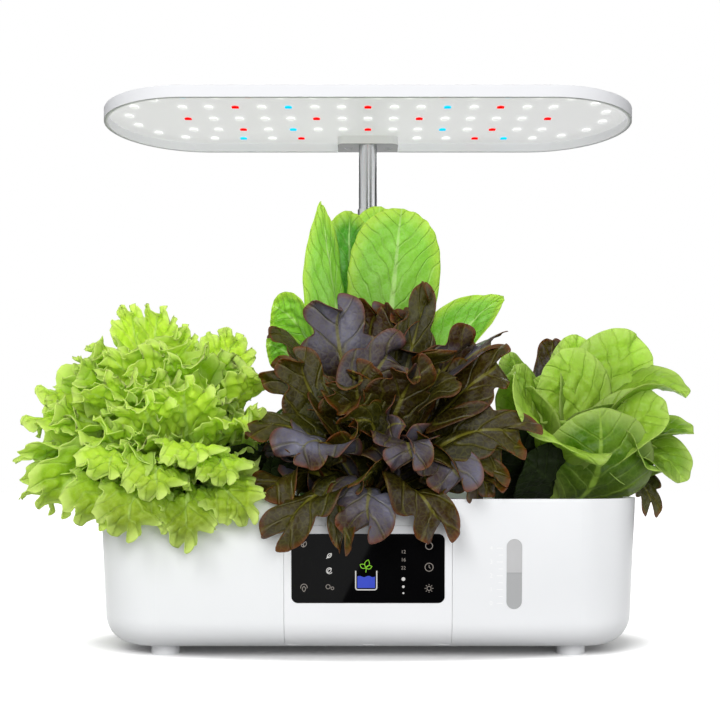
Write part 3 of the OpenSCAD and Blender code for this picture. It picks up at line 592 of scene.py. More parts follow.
def symbol(name, strokes, width, x, z, material):
    """Strokes, each a list of points, as thin round lines."""
    data = bpy.data.curves.new(name, "CURVE")
    data.dimensions = "3D"
    data.bevel_depth = width / 2
    data.bevel_resolution = 1
    data.use_fill_caps = True
    for points in strokes:
        closed = points[0] == points[-1]
        points = points[:-1] if closed else points
        line = data.splines.new("POLY")
        line.points.add(len(points) - 1)
        for point, (a, b) in zip(line.points, points):
            point.co = (a, b, 0, 1)
        line.use_cyclic_u = closed
    finish_piece(name, baked(name, data, x, z), material, "base")


def number(name, text, size, x, z, material):
    """A plain number, centred."""
    data = bpy.data.curves.new(name, "FONT")
    data.body = text
    data.size = size
    data.align_x = "CENTER"
    data.align_y = "CENTER"
    data.extrude = 0.1
    finish_piece(name, baked(name, data, x, z), material, "base")


def filled(name, outline, x, z, material):
    """A flat lit area from its outline."""
    bm = bmesh.new()
    face = bm.faces.new([bm.verts.new((a, b, 0)) for a, b in outline])
    made = bmesh.ops.extrude_face_region(bm, geom=[face])
    up = [v for v in made["geom"] if isinstance(v, bmesh.types.BMVert)]
    bmesh.ops.translate(bm, verts=up, vec=(0, 0, 2 * SUNK))
    bmesh.ops.recalc_face_normals(bm, faces=bm.faces)
    bmesh.ops.transform(bm, matrix=panel_place(x, z, PROUD - SUNK), verts=bm.verts)
    finish_piece(name, bm, material, "base")


def arc(x, y, radius, start, end, steps=20):
    """Points on an arc, in degrees anticlockwise from +X."""
    turns = [math.radians(start + (end - start) * i / steps) for i in range(steps + 1)]
    points = [(x + radius * math.cos(t), y + radius * math.sin(t)) for t in turns]
    if abs(end - start) == 360:
        points[-1] = points[0]
    return points


def petal(x, y, length, width, heading):
    """A pointed leaf outline from its foot, its axis at heading degrees."""
    turn = math.radians(heading)
    steps = [i / 10 for i in range(11)]
    side = [(length * s, width / 2 * math.sin(math.pi * s)) for s in steps]
    points = side + [(a, -b) for a, b in reversed(side[:-1])]
    placed = [(x + a * math.cos(turn) - b * math.sin(turn), y + a * math.sin(turn) + b * math.cos(turn))
              for a, b in points]
    placed[-1] = placed[0]
    return placed


ink_white = screen_ink("symbol_white", "#e8e6e2", 0.75)
ink_dim = screen_ink("symbol_dim", "#c9bfb4", 0.42)
ink_green = screen_ink("symbol_green", "#8fe01c", 0.8)
ink_blue = screen_ink("symbol_blue", "#2442cc", 0.85)


def add_symbols():
    # tank with water and a sprout
    tank_w, tank_h, round_r = 15.0, 13.6, 1.6
    left, right, foot = -tank_w / 2, tank_w / 2, -tank_h / 2
    wall = ([(left, -foot)] + arc(left + round_r, foot + round_r, round_r, 180, 270, 6)
            + arc(right - round_r, foot + round_r, round_r, 270, 360, 6) + [(right, -foot)])
    symbol("symbol_tank", [wall], 0.85, -1.3, 58.0, ink_white)
    surface = [(left + 1.2 + (tank_w - 2.4) * i / 24, 2.7 + 0.45 * math.sin(i * 2 * math.pi / 12))
               for i in range(25)]
    filled("symbol_water", surface + [(right - 1.2, foot + 1.3), (left + 1.2, foot + 1.3)],
           -1.3, 58.0, ink_blue)
    stem = [(0, 0), (0.3, 2.2), (0, 4.2)]
    leaves = [petal(0, 3.4, 6.0, 3.4, 72), petal(0, 3.2, 4.8, 3.0, 148), petal(0, 3.2, 4.6, 2.6, 14)]
    symbol("symbol_sprout", [stem] + leaves, 0.5, -1.6, 63.6, ink_green)
    # left of it: a leaf, a ringed leaf, fruit, a bud and a pot
    symbol("symbol_leaf_small", [petal(-1.6, -1.4, 4.4, 2.4, 45), [(-2.2, -2.0), (1.0, 1.0)]], 0.55,
           -27.5, 75.5, ink_white)
    symbol("symbol_leaf_ring", [arc(0, 0, 2.1, 40, 330), petal(-1.3, -1.2, 3.6, 2.0, 45)], 0.55,
           -27.5, 64.8, ink_white)
    symbol("symbol_fruit", [arc(-1.2, 0.2, 1.5, 0, 360), arc(1.9, -0.9, 1.0, 0, 360)], 0.5,
           -27.3, 53.2, ink_dim)
    roof = arc(0, 0.4, 2.3, -20, 200, 16)
    symbol("symbol_bud", [roof, petal(0, -2.8, 4.0, 2.4, 90)], 0.5, -45.7, 52.6, ink_dim)
    symbol("symbol_pot", [petal(0, -1.6, 4.2, 2.2, 70), petal(0, -1.6, 2.8, 1.6, 130)], 0.5,
           -45.7, 83.4, ink_dim)
    # right of it: a ring, a clock, a sun, the level dots and the hours
    symbol("symbol_ring", [arc(0, 0, 2.5, 0, 360)], 0.5, 43.5, 82.6, ink_dim)
    symbol("symbol_clock", [arc(0, 0, 2.9, 0, 360), [(0, 1.6), (0, 0), (1.0, -0.8)]], 0.5,
           43.5, 67.4, ink_dim)
    rays = [[(2.3 * math.cos(t), 2.3 * math.sin(t)), (3.1 * math.cos(t), 3.1 * math.sin(t))]
            for t in (math.radians(45 * i) for i in range(8))]
    symbol("symbol_sun", [arc(0, 0, 1.5, 0, 360)] + rays, 0.5, 43.5, 52.2, ink_dim)
    for i, (radius, z) in enumerate([(1.35, 58.9), (0.95, 53.4), (0.7, 48.8)]):
        filled(f"symbol_level_{i + 1}", arc(0, 0, radius, 0, 360)[:-1], 25.2, z, ink_white)
    for text, z in (("12", 78.3), ("16", 72.6), ("22", 66.8)):
        number(f"symbol_hours_{text}", text, 3.5, 25.2, z, ink_dim)


def add_water_scale():
    """White ticks and plain numbers beside the water window, pad-printed in an ink that is barely
    brighter than the tub. Every second tick is long and has a number."""
    ink = moulded("ink_white_print", "#fbfcfd", 0.5, "#ffffff")
    window_low, window_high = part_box("water_window")
    middle = (window_low.x + window_high.x) / 2 / MM
    right, half_line = middle - 8.2, 0.25
    ticks = 9
    lowest, highest = 41.5, 81.0
    for i in range(ticks):
        z = lowest + (highest - lowest) * i / (ticks - 1)
        left = right - (4.4 if i % 2 == 0 else 3.0)
        outline = [(left, -half_line), (right, -half_line), (right, half_line), (left, half_line)]
        filled(f"scale_tick_{i}", outline, 0, z, ink)
        if i % 2 == 0:
            number(f"scale_number_{i // 2}", str(i // 2), 4.4, middle - 16.5, z, ink)


add_symbols()
add_water_scale()


# ---------- lettuces ----------

# A leaf is a square grid pressed to a disc, whose long axis follows a rib from its
# root over a knee to its tip. Waves lift its margin and push it to and fro, as a
# margin does that has grown longer than the leaf it borders. All in millimetres.
ROOT_Z = 109.0
LEAF_THICKNESS = 0.5
PLAIN = dict(cup=0.5, twist=0.0, stalk=0.3, broad=0.5, shoulder=0.62, waves=(), lobes=(1, 0.0),
             teeth=(1, 0.0), point=0.0, phase=0.0, blister=0.6)


def leaf(root, knee, tip, width, side, tone, **look):
    """One leaf's shape. The side vector points across it; its inner face lies to ahead x side."""
    return dict(PLAIN, root=root, knee=knee, tip=tip, width=width, side=side, tone=tone, **look)


def unit(vectors):
    return vectors / np.maximum(np.linalg.norm(vectors, axis=-1, keepdims=True), 1e-9)


def leaf_points(grid, shape):
    """The places of a leaf's vertices, and where each lies on the leaf as (across, along)."""
    a, b = grid[:, 0], grid[:, 1]
    x = a * np.sqrt(1 - b * b / 2)
    y = b * np.sqrt(1 - a * a / 2)
    edge = np.clip(np.hypot(x, y), 0, 1)
    turn = np.arctan2(y, x)
    phase = shape["phase"]
    spots = np.stack([(y + 1) / 2, (x + 1) / 2], axis=1)
    # the margin's outline: deep rounded lobes, then small teeth
    count, depth = shape["lobes"]
    sinus = (0.5 + 0.5 * np.cos(count * (turn + 0.12 * np.sin(2 * turn + phase)) + phase)) ** 3
    draw = 1 - depth * sinus * edge ** 1.5
    count, depth = shape["teeth"]
    draw += depth * edge ** 6 * np.sin(count * turn + 3 * phase) * (0.6 + 0.4 * np.sin(3 * turn + phase))
    x, y = x * draw, y * draw
    u = np.clip((x + 1) / 2, 0, 1.1) ** (math.log(shape["shoulder"]) / math.log(0.5))
    grow = np.clip(u / shape["broad"], 0, 1)
    taper = shape["stalk"] + (1 - shape["stalk"]) * grow * grow * (3 - 2 * grow)
    half = shape["width"] / 2
    # the margin's waves, each set finer and nearer to the edge than the last
    lift = np.zeros_like(u)
    slide = np.zeros_like(u)
    for i, (count, height, power) in enumerate(shape["waves"]):
        swing = count * turn + phase * (i + 1.3) + 0.8 * np.sin(2 * turn + phase)
        uneven = 0.6 + 0.4 * np.sin(2.3 * turn + phase * 2.1 + i)
        fade = height * half * uneven * edge ** power * np.clip(u * 2.2, 0, 1)
        lift += fade * np.sin(swing)
        slide += 0.4 * fade * np.cos(2 * swing)
    puffs = np.sin(9 * x + phase) * np.sin(11 * y + 2 * phase)
    puffs += 0.6 * np.sin(21 * x + 5 * y) * np.sin(17 * y - 4 * x + phase)
    lift += shape["blister"] * puffs * (1 - edge ** 4)
    # the rib and the frame that goes along it
    root, knee, tip = (np.array(shape[k], float) for k in ("root", "knee", "tip"))
    s = u[:, None]
    rib = (1 - s) ** 2 * root + 2 * s * (1 - s) * knee + s ** 2 * tip
    ahead = unit((1 - s) * (knee - root) + s * (tip - knee))
    side = np.array(shape["side"], float)
    side = unit(side - (ahead @ side)[:, None] * ahead)
    face = np.cross(ahead, side)
    twist = (shape["twist"] * u)[:, None]
    side, face = (np.cos(twist) * side + np.sin(twist) * face,
                  np.cos(twist) * face - np.sin(twist) * side)
    # cross-section: an arc
    ending = np.clip((u - shape["broad"]) / (1 - shape["broad"]), 0, 1)
    reach = y * taper * (1 - shape["point"] * ending ** 2)
    bend = shape["cup"] * reach
    safe = np.where(np.abs(bend) < 1e-4, 1e-4, bend)
    flat = half * reach * np.sin(safe) / safe
    rise = half * reach * (1 - np.cos(safe)) / safe
    points = rib + flat[:, None] * side + (rise + lift)[:, None] * face
    points += (slide * np.cos(turn))[:, None] * side - (slide * np.sin(turn))[:, None] * ahead
    return points, spots


COVER_ROOM = 12


def clear_covers(points):
    """Lifts what hangs low over a hole's cover, in millimetres, so that the cover can come up: in
    full out to 1.2 of its radii, and fading to nothing at 1.7."""
    for spot in SPOTS:
        low, high = (np.array(corner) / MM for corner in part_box("hole_cover_" + spot))
        middle, radius = (low + high) / 2, (high[0] - low[0]) / 2
        off = np.hypot(points[:, 0] - middle[0], points[:, 1] - middle[1]) / radius
        share = np.clip(3.4 - off * 2, 0, 1)
        points[:, 2] += share * np.maximum(0, high[2] + COVER_ROOM - points[:, 2])
    return points


def grow(name, leaves, material, pod, along=44, across=30):
    """All the given leaves as one piece, each a closed thin sheet, in a pod's plain crown's place."""
    bm = bmesh.new()
    bm.loops.layers.uv.new("leaf")
    for i in range(len(leaves)):
        bmesh.ops.create_grid(bm, x_segments=along, y_segments=across, size=1,
                              matrix=Matrix.Translation((0, 0, i)), calc_uvs=True)
    mesh = mesh_of(name, bm)
    grid = np.empty(3 * len(mesh.vertices))
    mesh.vertices.foreach_get("co", grid)
    grid = grid.reshape(len(leaves), -1, 3)
    made = [leaf_points(g, shape) for g, shape in zip(grid, leaves)]
    points = clear_covers(np.concatenate([m[0] for m in made])) * MM
    spots = np.concatenate([m[1] for m in made])
    tones = np.concatenate([np.full(len(m[0]), shape["tone"]) for m, shape in zip(made, leaves)])
    mesh.vertices.foreach_set("co", points.ravel())
    corner = np.empty(len(mesh.loops), int)
    mesh.loops.foreach_get("vertex_index", corner)
    mesh.uv_layers["leaf"].data.foreach_set("uv", spots[corner].ravel())
    tone = mesh.attributes.new("tone", "FLOAT", "POINT")
    tone.data.foreach_set("value", tones)
    mesh.shade_smooth()
    piece = finish_piece(name, mesh, material, "pod_" + pod)
    wall = piece.modifiers.new("thickness", "SOLIDIFY")
    wall.thickness = LEAF_THICKNESS * MM
    wall.offset = 0
    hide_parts("lettuce_" + KINDS[pod])


def grow_in_parts(pod, leaves, most, material, **grid):
    """A lettuce as several pieces of at most so many leaves, so that none grows too large."""
    for part in range(0, len(leaves), most):
        grow(f"{KINDS[pod]}_leaves_{part // most + 1}", leaves[part:part + most], material, pod, **grid)


def leaf_material(name, foot, low, high, rim, rib, veins, through, roughness, gloss,
                  painted_sheen=None, foot_shade_end=0.62, mark=0.38, bottom_colour=None, rim_from=0.7):
    """Lettuce leaf: a waxy skin over thin wet flesh. Light passes through it, its rib and side
    veins are paler, its foot is darkened with painted shade, its margin is paler, partly its own
    colour and partly painted highlight, and it clouds from leaf to leaf, from low to high, with
    patches of painted sheen. Lower down it turns towards a darker bottom colour."""
    material, tree, place = new_material(name)
    uv = add(tree, "UVMap", uv_map="leaf")
    spot = add(tree, "SeparateXYZ", {"Vector": uv}).outputs
    tone = add(tree, "Attribute", attribute_name="tone").outputs["Fac"]
    # distance from the rib, 0 to 0.5
    off = add(tree, "Math", {0: spot["X"], 1: 0.5}, operation="SUBTRACT")
    far = add(tree, "Math", {0: off}, operation="ABSOLUTE")
    # side veins run out and forwards
    lean = add(tree, "Math", {0: far, 1: -0.9, 2: spot["Y"]}, operation="MULTIPLY_ADD")
    wobble = add(tree, "TexNoise", {"Vector": place, "Scale": 45.0, "Detail": 1.0})
    bent = add(tree, "Math", {0: wobble, 1: 0.16, 2: lean}, operation="MULTIPLY_ADD")
    step = add(tree, "Math", {0: bent, 1: 0.5 / veins}, operation="PINGPONG")
    vein = add(tree, "MapRange", {"Value": step, "From Min": 0.0, "From Max": 0.11 / veins,
                                  "To Min": 1.0, "To Max": 0.0})
    # the rib narrows towards the tip
    narrow = add(tree, "MapRange", {"Value": spot["Y"], "To Min": 0.05, "To Max": 0.008})
    spine = add(tree, "Math", {0: far, 1: narrow}, operation="DIVIDE")
    spine = add(tree, "MapRange", {"Value": spine, "From Min": 0.5, "From Max": 1.0, "To Min": 1.0,
                                   "To Max": 0.0})
    # fine net of veins, 4 mm wide
    net = add(tree, "TexVoronoi", {"Vector": place, "Scale": 1 / (4 * MM)}, feature="DISTANCE_TO_EDGE")
    threads = add(tree, "MapRange", {"Value": net, "From Max": 0.12, "To Min": 1.0, "To Max": 0.0})
    # the flesh's colour: clouded, with patches of painted sheen, and darker towards the bottom
    cloud = add(tree, "TexNoise", {"Vector": place, "Scale": 38.0, "Detail": 4.0})
    shade = add(tree, "Math", {0: cloud, 1: tone}, operation="ADD")
    ramp = add(tree, "MapRange", {"Value": shade, "From Min": 0.55, "From Max": 1.25})
    body = add(tree, "Mix", {"Factor": ramp, "A": low, "B": high}, data_type="RGBA")
    # painted sheen: silvery patches in the base colour that stand for highlights on the skin
    if painted_sheen:
        sheen_cloud = add(tree, "TexNoise", {"Vector": place, "Scale": 24.0, "Detail": 2.0})
        sheen_share = add(tree, "Math", {0: sheen_cloud, 1: 1.4, 2: tone}, operation="MULTIPLY_ADD")
        sheen_mask = add(tree, "MapRange", {"Value": sheen_share, "From Min": 1.45, "From Max": 1.9})
        body = add(tree, "Mix", {"Factor": sheen_mask, "A": body, "B": painted_sheen}, data_type="RGBA")
    # darker towards the bottom: below 145 mm the flesh turns by height towards its bottom colour
    if bottom_colour:
        height = add(tree, "SeparateXYZ", {"Vector": place}).outputs["Z"]
        toward_bottom = add(tree, "MapRange", {"Value": height, "From Min": 90 * MM, "From Max": 145 * MM,
                                      "To Min": 0.8, "To Max": 0.0})
        body = add(tree, "Mix", {"Factor": toward_bottom, "A": body, "B": bottom_colour}, data_type="RGBA")
    # its margin, paler: partly its own colour and partly painted highlight; and its foot, darkened with
    # painted shade
    middle = add(tree, "Mapping", {"Vector": uv, "Location": (-1.0, -1.0, 0.0),
                                   "Scale": (2.0, 2.0, 1.0)})
    reach = add(tree, "VectorMath", {0: middle}, operation="LENGTH")
    # painted highlight, partly the margin's own paler colour: towards its edge the leaf turns to the rim
    # colour
    margin_and_highlight = add(tree, "MapRange", {"Value": reach, "From Min": rim_from, "From Max": 1.0,
                                    "To Min": 0.0, "To Max": 0.8})
    edged = add(tree, "Mix", {"Factor": margin_and_highlight, "A": body, "B": rim}, data_type="RGBA")
    # painted shade: the foot darkens towards the foot colour, less so on leaves of high tone
    foot_shade = add(tree, "MapRange", {"Value": spot["Y"], "From Min": 0.2, "From Max": foot_shade_end,
                                  "To Min": 0.9, "To Max": 0.0})
    foot_shade_by_leaf = add(tree, "MapRange", {"Value": tone, "To Min": 1.0, "To Max": 0.5})
    foot_shade = add(tree, "Math", {0: foot_shade, 1: foot_shade_by_leaf}, operation="MULTIPLY")
    deep = add(tree, "Mix", {"Factor": foot_shade, "A": edged, "B": foot}, data_type="RGBA")
    # its veins: the side ones by mark, the net faint, the rib strongest
    faint = add(tree, "Math", {0: threads, 1: 0.14}, operation="MULTIPLY")
    clear = add(tree, "Math", {0: vein, 1: mark, 2: faint}, operation="MULTIPLY_ADD")
    soft = add(tree, "Math", {0: spine, 1: 0.6}, operation="MULTIPLY")
    lines = add(tree, "Math", {0: clear, 1: soft}, operation="MAXIMUM")
    colour = add(tree, "Mix", {"Factor": lines, "A": deep, "B": rib}, data_type="RGBA")
    # puffed flesh between sunken veins
    puff = add(tree, "Math", {0: net, 1: 0.6, 2: cloud}, operation="MULTIPLY_ADD")
    height = add(tree, "Math", {0: puff, 1: vein}, operation="SUBTRACT")
    bump = add(tree, "Bump", {"Height": height, "Strength": 0.7, "Distance": 1.1 * MM})
    skin = add(tree, "BsdfPrincipled", {"Base Color": colour, "Roughness": roughness, "IOR": 1.45,
                                        "Specular IOR Level": gloss, "Normal": bump})
    glow = add(tree, "Mix", {"Factor": 0.5, "A": colour, "B": rim}, data_type="RGBA")
    flesh = add(tree, "BsdfTranslucent", {"Color": glow})
    return surfaced(material, add(tree, "MixShader", {0: through, 1: skin, 2: flesh}))


# Each leaf's turn past the last in degrees; in millimetres, the ring that the feet stand in,
# how much an upright leaf's knee is raised, how low a knee may be over its root and how far a
# wholly loose one strays
GOLDEN = 137.5
FOOT_RING = 5
KNEE_RAISED = 26
KNEE_LOWEST = 42
KNEE_STRAY = 40


def dome(rng, root, middle, reach, top, count, width, low, loose, **look):
    """Leaves whose tips cover a dome: reach gives its radii to the right, rear, left and front.
    The first leaf stands upright in the middle and the last hangs lowest outside. Loose, in
    radians, is how far the leaves roll about their ribs and stray from their places."""
    leaves = []
    for i in range(count):
        t = (i + 0.5) / count
        swing = math.radians(GOLDEN * i) + loose * rng.uniform(-0.7, 0.7)
        right, back = math.cos(swing), math.sin(swing)
        side_reach = reach[0] if right > 0 else reach[2]
        deep_reach = reach[1] if back > 0 else reach[3]
        high = 1 + (low - 1) * t ** 0.8 + rng.uniform(-0.08, 0.08)
        out = math.sqrt(max(0.0, 1 - min(1, max(-0.6, high)) ** 2)) * rng.uniform(0.88, 1.0)
        tip = np.array((middle[0] + side_reach * right * out, middle[1] + deep_reach * back * out,
                        middle[2] + (top - middle[2]) * high))
        foot = np.array((root[0] + FOOT_RING * right, root[1] + FOOT_RING * back, ROOT_Z))
        knee = foot + (tip - foot) * np.array((0.4, 0.4, 0.6))
        knee += KNEE_STRAY * loose * np.array([rng.uniform(-1, 1) for _ in range(3)])
        knee[2] = max(knee[2] + KNEE_RAISED * (1 - t), ROOT_Z + KNEE_LOWEST)
        roll = loose * rng.uniform(-2, 2)
        side = (-back * math.cos(roll), right * math.cos(roll), math.sin(roll))
        leaves.append(leaf(foot, knee, tip, width * rng.uniform(0.8, 1.2), side,
                           phase=rng.uniform(0, 6.28), tone=rng.random(),
                           twist=rng.uniform(-0.5, 0.5), **look))
    return leaves


def single(root, look, *rows):
    """Leaves placed one by one round a root, each by its knee, tip, width, side and tone, and by
    what its look has of its own."""
    return [leaf((*root, ROOT_Z), knee, tip, width, side, tone, **dict(look, **dict(*own)))
            for knee, tip, width, side, tone, *own in rows]


# Curly lettuce: a wide dome of frilled leaves that spills over the left and front rim
def curly_leaves():
    frill = dict(stalk=0.25, broad=0.7, shoulder=0.66, cup=0.35, blister=2.4, lobes=(9, 0.24),
                 teeth=(29, 0.05), waves=((4, 0.22, 1.4), (9, 0.22, 2.5), (23, 0.13, 4.5)))
    hang = dict(frill, cup=-0.5, waves=((3, 0.32, 1.2), (7, 0.26, 2.2), (17, 0.1, 4.5)))
    root = (-140, -24)
    return dome(Random(11), (-140, -18), (-165, -30, 156), (86, 66, 90, 84), 246, 74, 66, -0.45, 0.35,
                **frill) + single(
        root, hang,
        ((-164, -122, 147), (-168, -120, 89), 60, (1, 0.1, 0), 0.5),
        ((-123, -118, 147), (-128, -116, 81), 50, (1, 0, 0.2), 0.2),
        ((-106, -116, 147), (-81, -112, 99), 46, (0.8, 0, 0.5), 0.6),
        ((-191, -110, 151), (-193, -108, 96), 60, (1, 0.4, 0.2), 0.3),
        ((-151, -116, 165), (-146, -122, 116), 56, (1, 0, -0.2), 0.8),
        ((-102, -110, 172), (-98, -116, 126), 50, (1, 0, 0.2), 0.5),
        ((-180, -112, 175), (-182, -120, 130), 58, (1, 0.3, 0), 0.7),
        ((-124, -112, 179), (-118, -122, 140), 58, (1, 0, 0), 0.9),
        ((-215, -70, 181), (-254, -62, 136), 60, (0.3, 1, 0), 0.3),
        ((-223, -40, 174), (-251, -50, 108), 66, (0.5, 1, 0), 0.2),
        ((-213, -90, 165), (-227, -88, 105), 60, (0.8, 0.6, 0), 0.1)) + single(
        root, frill,
        ((-212, -40, 212), (-250, -40, 191), 60, (0.3, 1, 0.3), 0.6),
        ((-211, -70, 203), (-250, -70, 166), 60, (0.3, 1, 0.3), 0.5),
        ((-177, -24, 214), (-186, -26, 265), 40, (1, 0.2, 0), 0.9),
        ((-167, -34, 213), (-163, -32, 264), 46, (1, -0.2, 0), 0.8),
        ((-154, -20, 214), (-146, -22, 251), 40, (1, 0, 0), 0.7),
        ((-118, -30, 205), (-102, -28, 244), 52, (1, 0.2, 0), 0.8),
        ((-104, -60, 188), (-82, -60, 209), 56, (0.6, 1, 0.2), 0.9),
        ((-127, -96, 172), (-131, -112, 199), 60, (1, 0, 0), 1.0),
        ((-155, -96, 172), (-158, -116, 185), 60, (1, 0.2, 0), 1.0),
        ((-104, -96, 179), (-81, -106, 172), 60, (0.9, 0.3, 0.3), 0.9))


# Red oak-leaf lettuce: lobed leaves in a loose mound, some hanging over the front rim
def oakleaf_leaves():
    lobed = dict(stalk=0.3, broad=0.45, shoulder=0.64, cup=0.3, lobes=(5, 0.42), blister=0.5,
                 waves=((2, 0.34, 1.2), (5, 0.26, 2.0), (11, 0.06, 4.5)))
    root = (0, -54)
    return dome(Random(5), (0, -48), (6, -52, 150), (88, 18, 78, 44), 246, 28, 64, -0.3, 0.8,
                **lobed) + single(
        root, lobed,
        ((35, -50, 230), (45, -54, 279), 42, (1, 0.2, 0), 0.3, dict(point=0.5)),
        ((-22, -58, 226), (-27, -66, 266), 66, (1, 0, 0), 0.95),
        ((-1, -44, 227), (3, -44, 267), 54, (1, 0.2, 0), 0.7),
        ((18, -44, 227), (23, -40, 264), 46, (1, -0.2, 0), 0.6),
        ((-42, -54, 241), (-76, -56, 241), 34, (0.2, 1, 0.6), 0.1),
        ((-41, -76, 188), (-55, -86, 223), 50, (1, 0.3, 0), 0.3),
        ((-27, -90, 194), (-78, -70, 213), 44, (0.5, 0, 0.8), 0.2),
        ((-41, -92, 187), (-91, -96, 164), 44, (0.3, 0.6, 0.6), 0.2),
        ((-31, -98, 186), (-57, -108, 140), 62, (0.9, 0, -0.3), 0.95),
        ((17, -84, 198), (-17, -102, 162), 36, (0.5, 0, 0.8), 0.1),
        ((37, -98, 190), (26, -112, 133), 52, (1, 0.1, 0), 0.85),
        ((64, -94, 176), (62, -108, 117), 60, (1, 0, 0), 1.0),
        ((72, -96, 190), (120, -94, 155), 46, (0.2, 0.3, 1), 0.4),
        ((59, -90, 187), (107, -92, 137), 52, (0.6, 0.2, 0.6), 0.3),
        ((73, -70, 214), (105, -76, 212), 58, (0.3, 0.4, 1), 0.5),
        ((63, -56, 237), (104, -58, 229), 42, (0.1, 1, 0.4), 0.9),
        ((54, -60, 218), (81, -56, 239), 50, (0.8, 0.4, 0.2), 0.7),
        ((23, -84, 202), (37, -104, 206), 56, (1, 0, 0.2), 0.6),
        ((-6, -84, 194), (-11, -102, 203), 60, (1, 0.1, 0), 0.4)) + single(
        root, dict(lobed, cup=-0.2),
        ((-32, -112, 147), (-68, -112, 81), 50, (0.9, 0, 0.3), 0.35),
        ((-30, -114, 158), (-15, -110, 75), 42, (1, 0, 0), 0.2, dict(point=0.6)),
        ((4, -118, 147), (-4, -116, 86), 60, (1, 0, 0), 0.95),
        ((35, -116, 151), (53, -112, 84), 50, (1, 0.1, -0.2), 0.5),
        ((17, -110, 158), (-11, -116, 120), 24, (0.6, 0, 0.8), 0.0),
        ((-42, -84, 158), (-76, -90, 115), 60, (0.8, 0, 0.4), 0.4),
        ((70, -86, 158), (90, -94, 115), 52, (0.8, 0, -0.3), 0.45),
        ((66, -84, 164), (97, -95, 120), 40, (0.6, 0, 0.6), 0.3))


# Cos lettuce: tall smooth spoon-shaped leaves behind the others
def romaine_leaves():
    spoon = dict(stalk=0.35, broad=0.6, shoulder=0.74, cup=0.4, blister=1.4, teeth=(23, 0.012),
                 waves=((5, 0.05, 2.0), (13, 0.03, 5.0)))
    folded = dict(cup=1.1, shoulder=0.62, point=0.7)
    return dome(Random(3), (0, 12), (0, 16, 180), (60, 22, 60, 20), 268, 12, 50, -0.3, 0.3,
                **spoon) + single(
        (2, 8), spoon,
        ((18, 0, 248), (26, -6, 343), 76, (1, 0.05, 0), 0.8),
        ((-24, 6, 248), (-38, 4, 351), 54, (0.75, 0.6, 0), 0.7, folded),
        ((-18, 22, 250), (-15, 20, 347), 48, (0.9, 0.4, 0), 0.0),
        ((3, 34, 252), (9, 30, 353), 56, (1, 0, 0), 0.35),
        ((58, 14, 249), (109, 4, 274), 58, (-0.3, 0.5, 1), 0.5, folded),
        ((-40, 12, 259), (-77, 8, 268), 46, (0.4, 0.4, -1), 0.9),
        ((-47, 10, 237), (-82, 8, 237), 36, (0.4, 0.4, -1), 0.3))


# Butterhead lettuce: broad soft leaves, cupped round each other
def butterhead_leaves():
    soft = dict(stalk=0.45, broad=0.5, shoulder=0.6, cup=0.6, blister=1.4, teeth=(11, 0.015),
                waves=((3, 0.06, 1.6), (8, 0.03, 4.0)))
    puffed = dict(blister=2.6, cup=0.4, waves=((4, 0.1, 1.6), (9, 0.08, 3.0)))
    root = (150, -22)
    return dome(Random(8), (145, -10), (158, -10, 146), (74, 42, 62, 40), 220, 20, 64, -0.3, 0.3,
                **soft) + single(
        root, soft,
        ((179, -70, 114), (170, -64, 182), 92, (1, 0, -0.1), 0.15)) + single(
        (142, -30), soft,
        ((131, -66, 185), (125, -90, 158), 104, (0.8, 0, -0.8), 0.85)) + single(
        root, soft,
        ((178, -34, 182), (144, -36, 226), 66, (1, 0.2, 0.2), 0.9, puffed),
        ((185, 0, 192), (213, 4, 246), 74, (1, 0.1, -0.2), 0.95, puffed),
        ((198, -14, 230), (249, -22, 194), 70, (0.2, 1, 0.4), 0.6),
        ((183, -46, 174), (226, -48, 183), 60, (-0.4, 0.7, 0.8), 0.7),
        ((210, -30, 175), (252, -26, 167), 46, (0.2, 1, 0.5), 0.1),
        ((218, -40, 178), (239, -44, 127), 50, (0.7, 0.6, 0.4), 0.3),
        ((123, -40, 190), (109, -48, 213), 56, (0.7, 0.6, 0.3), 0.5),
        ((127, -14, 207), (109, -12, 229), 50, (0.6, 0.8, 0.3), 0.3),
        ((168, 14, 201), (169, 18, 246), 44, (1, 0.1, 0), 1.0, puffed),
        ((187, 10, 200), (194, 20, 243), 48, (1, -0.1, 0), 0.8, puffed),
        ((207, -40, 159), (211, -62, 136), 60, (0.7, 0.3, -0.5), 0.1))


# Two red leaves that grow between the butterhead's own
def red_leaves():
    lobed = dict(stalk=0.4, broad=0.4, shoulder=0.6, cup=0.5, blister=0.8, lobes=(5, 0.12),
                 waves=((3, 0.1, 1.6), (8, 0.06, 3.0)))
    return single((143, 4), lobed, ((150, 24, 220), (150, 20, 244), 30, (1, 0, 0), 0.7)) + single(
        (158, -16), lobed, ((224, -26, 150), (218, -28, 98), 30, (1, 0.3, 0), 0.0, dict(lobes=(6, 0.4))))


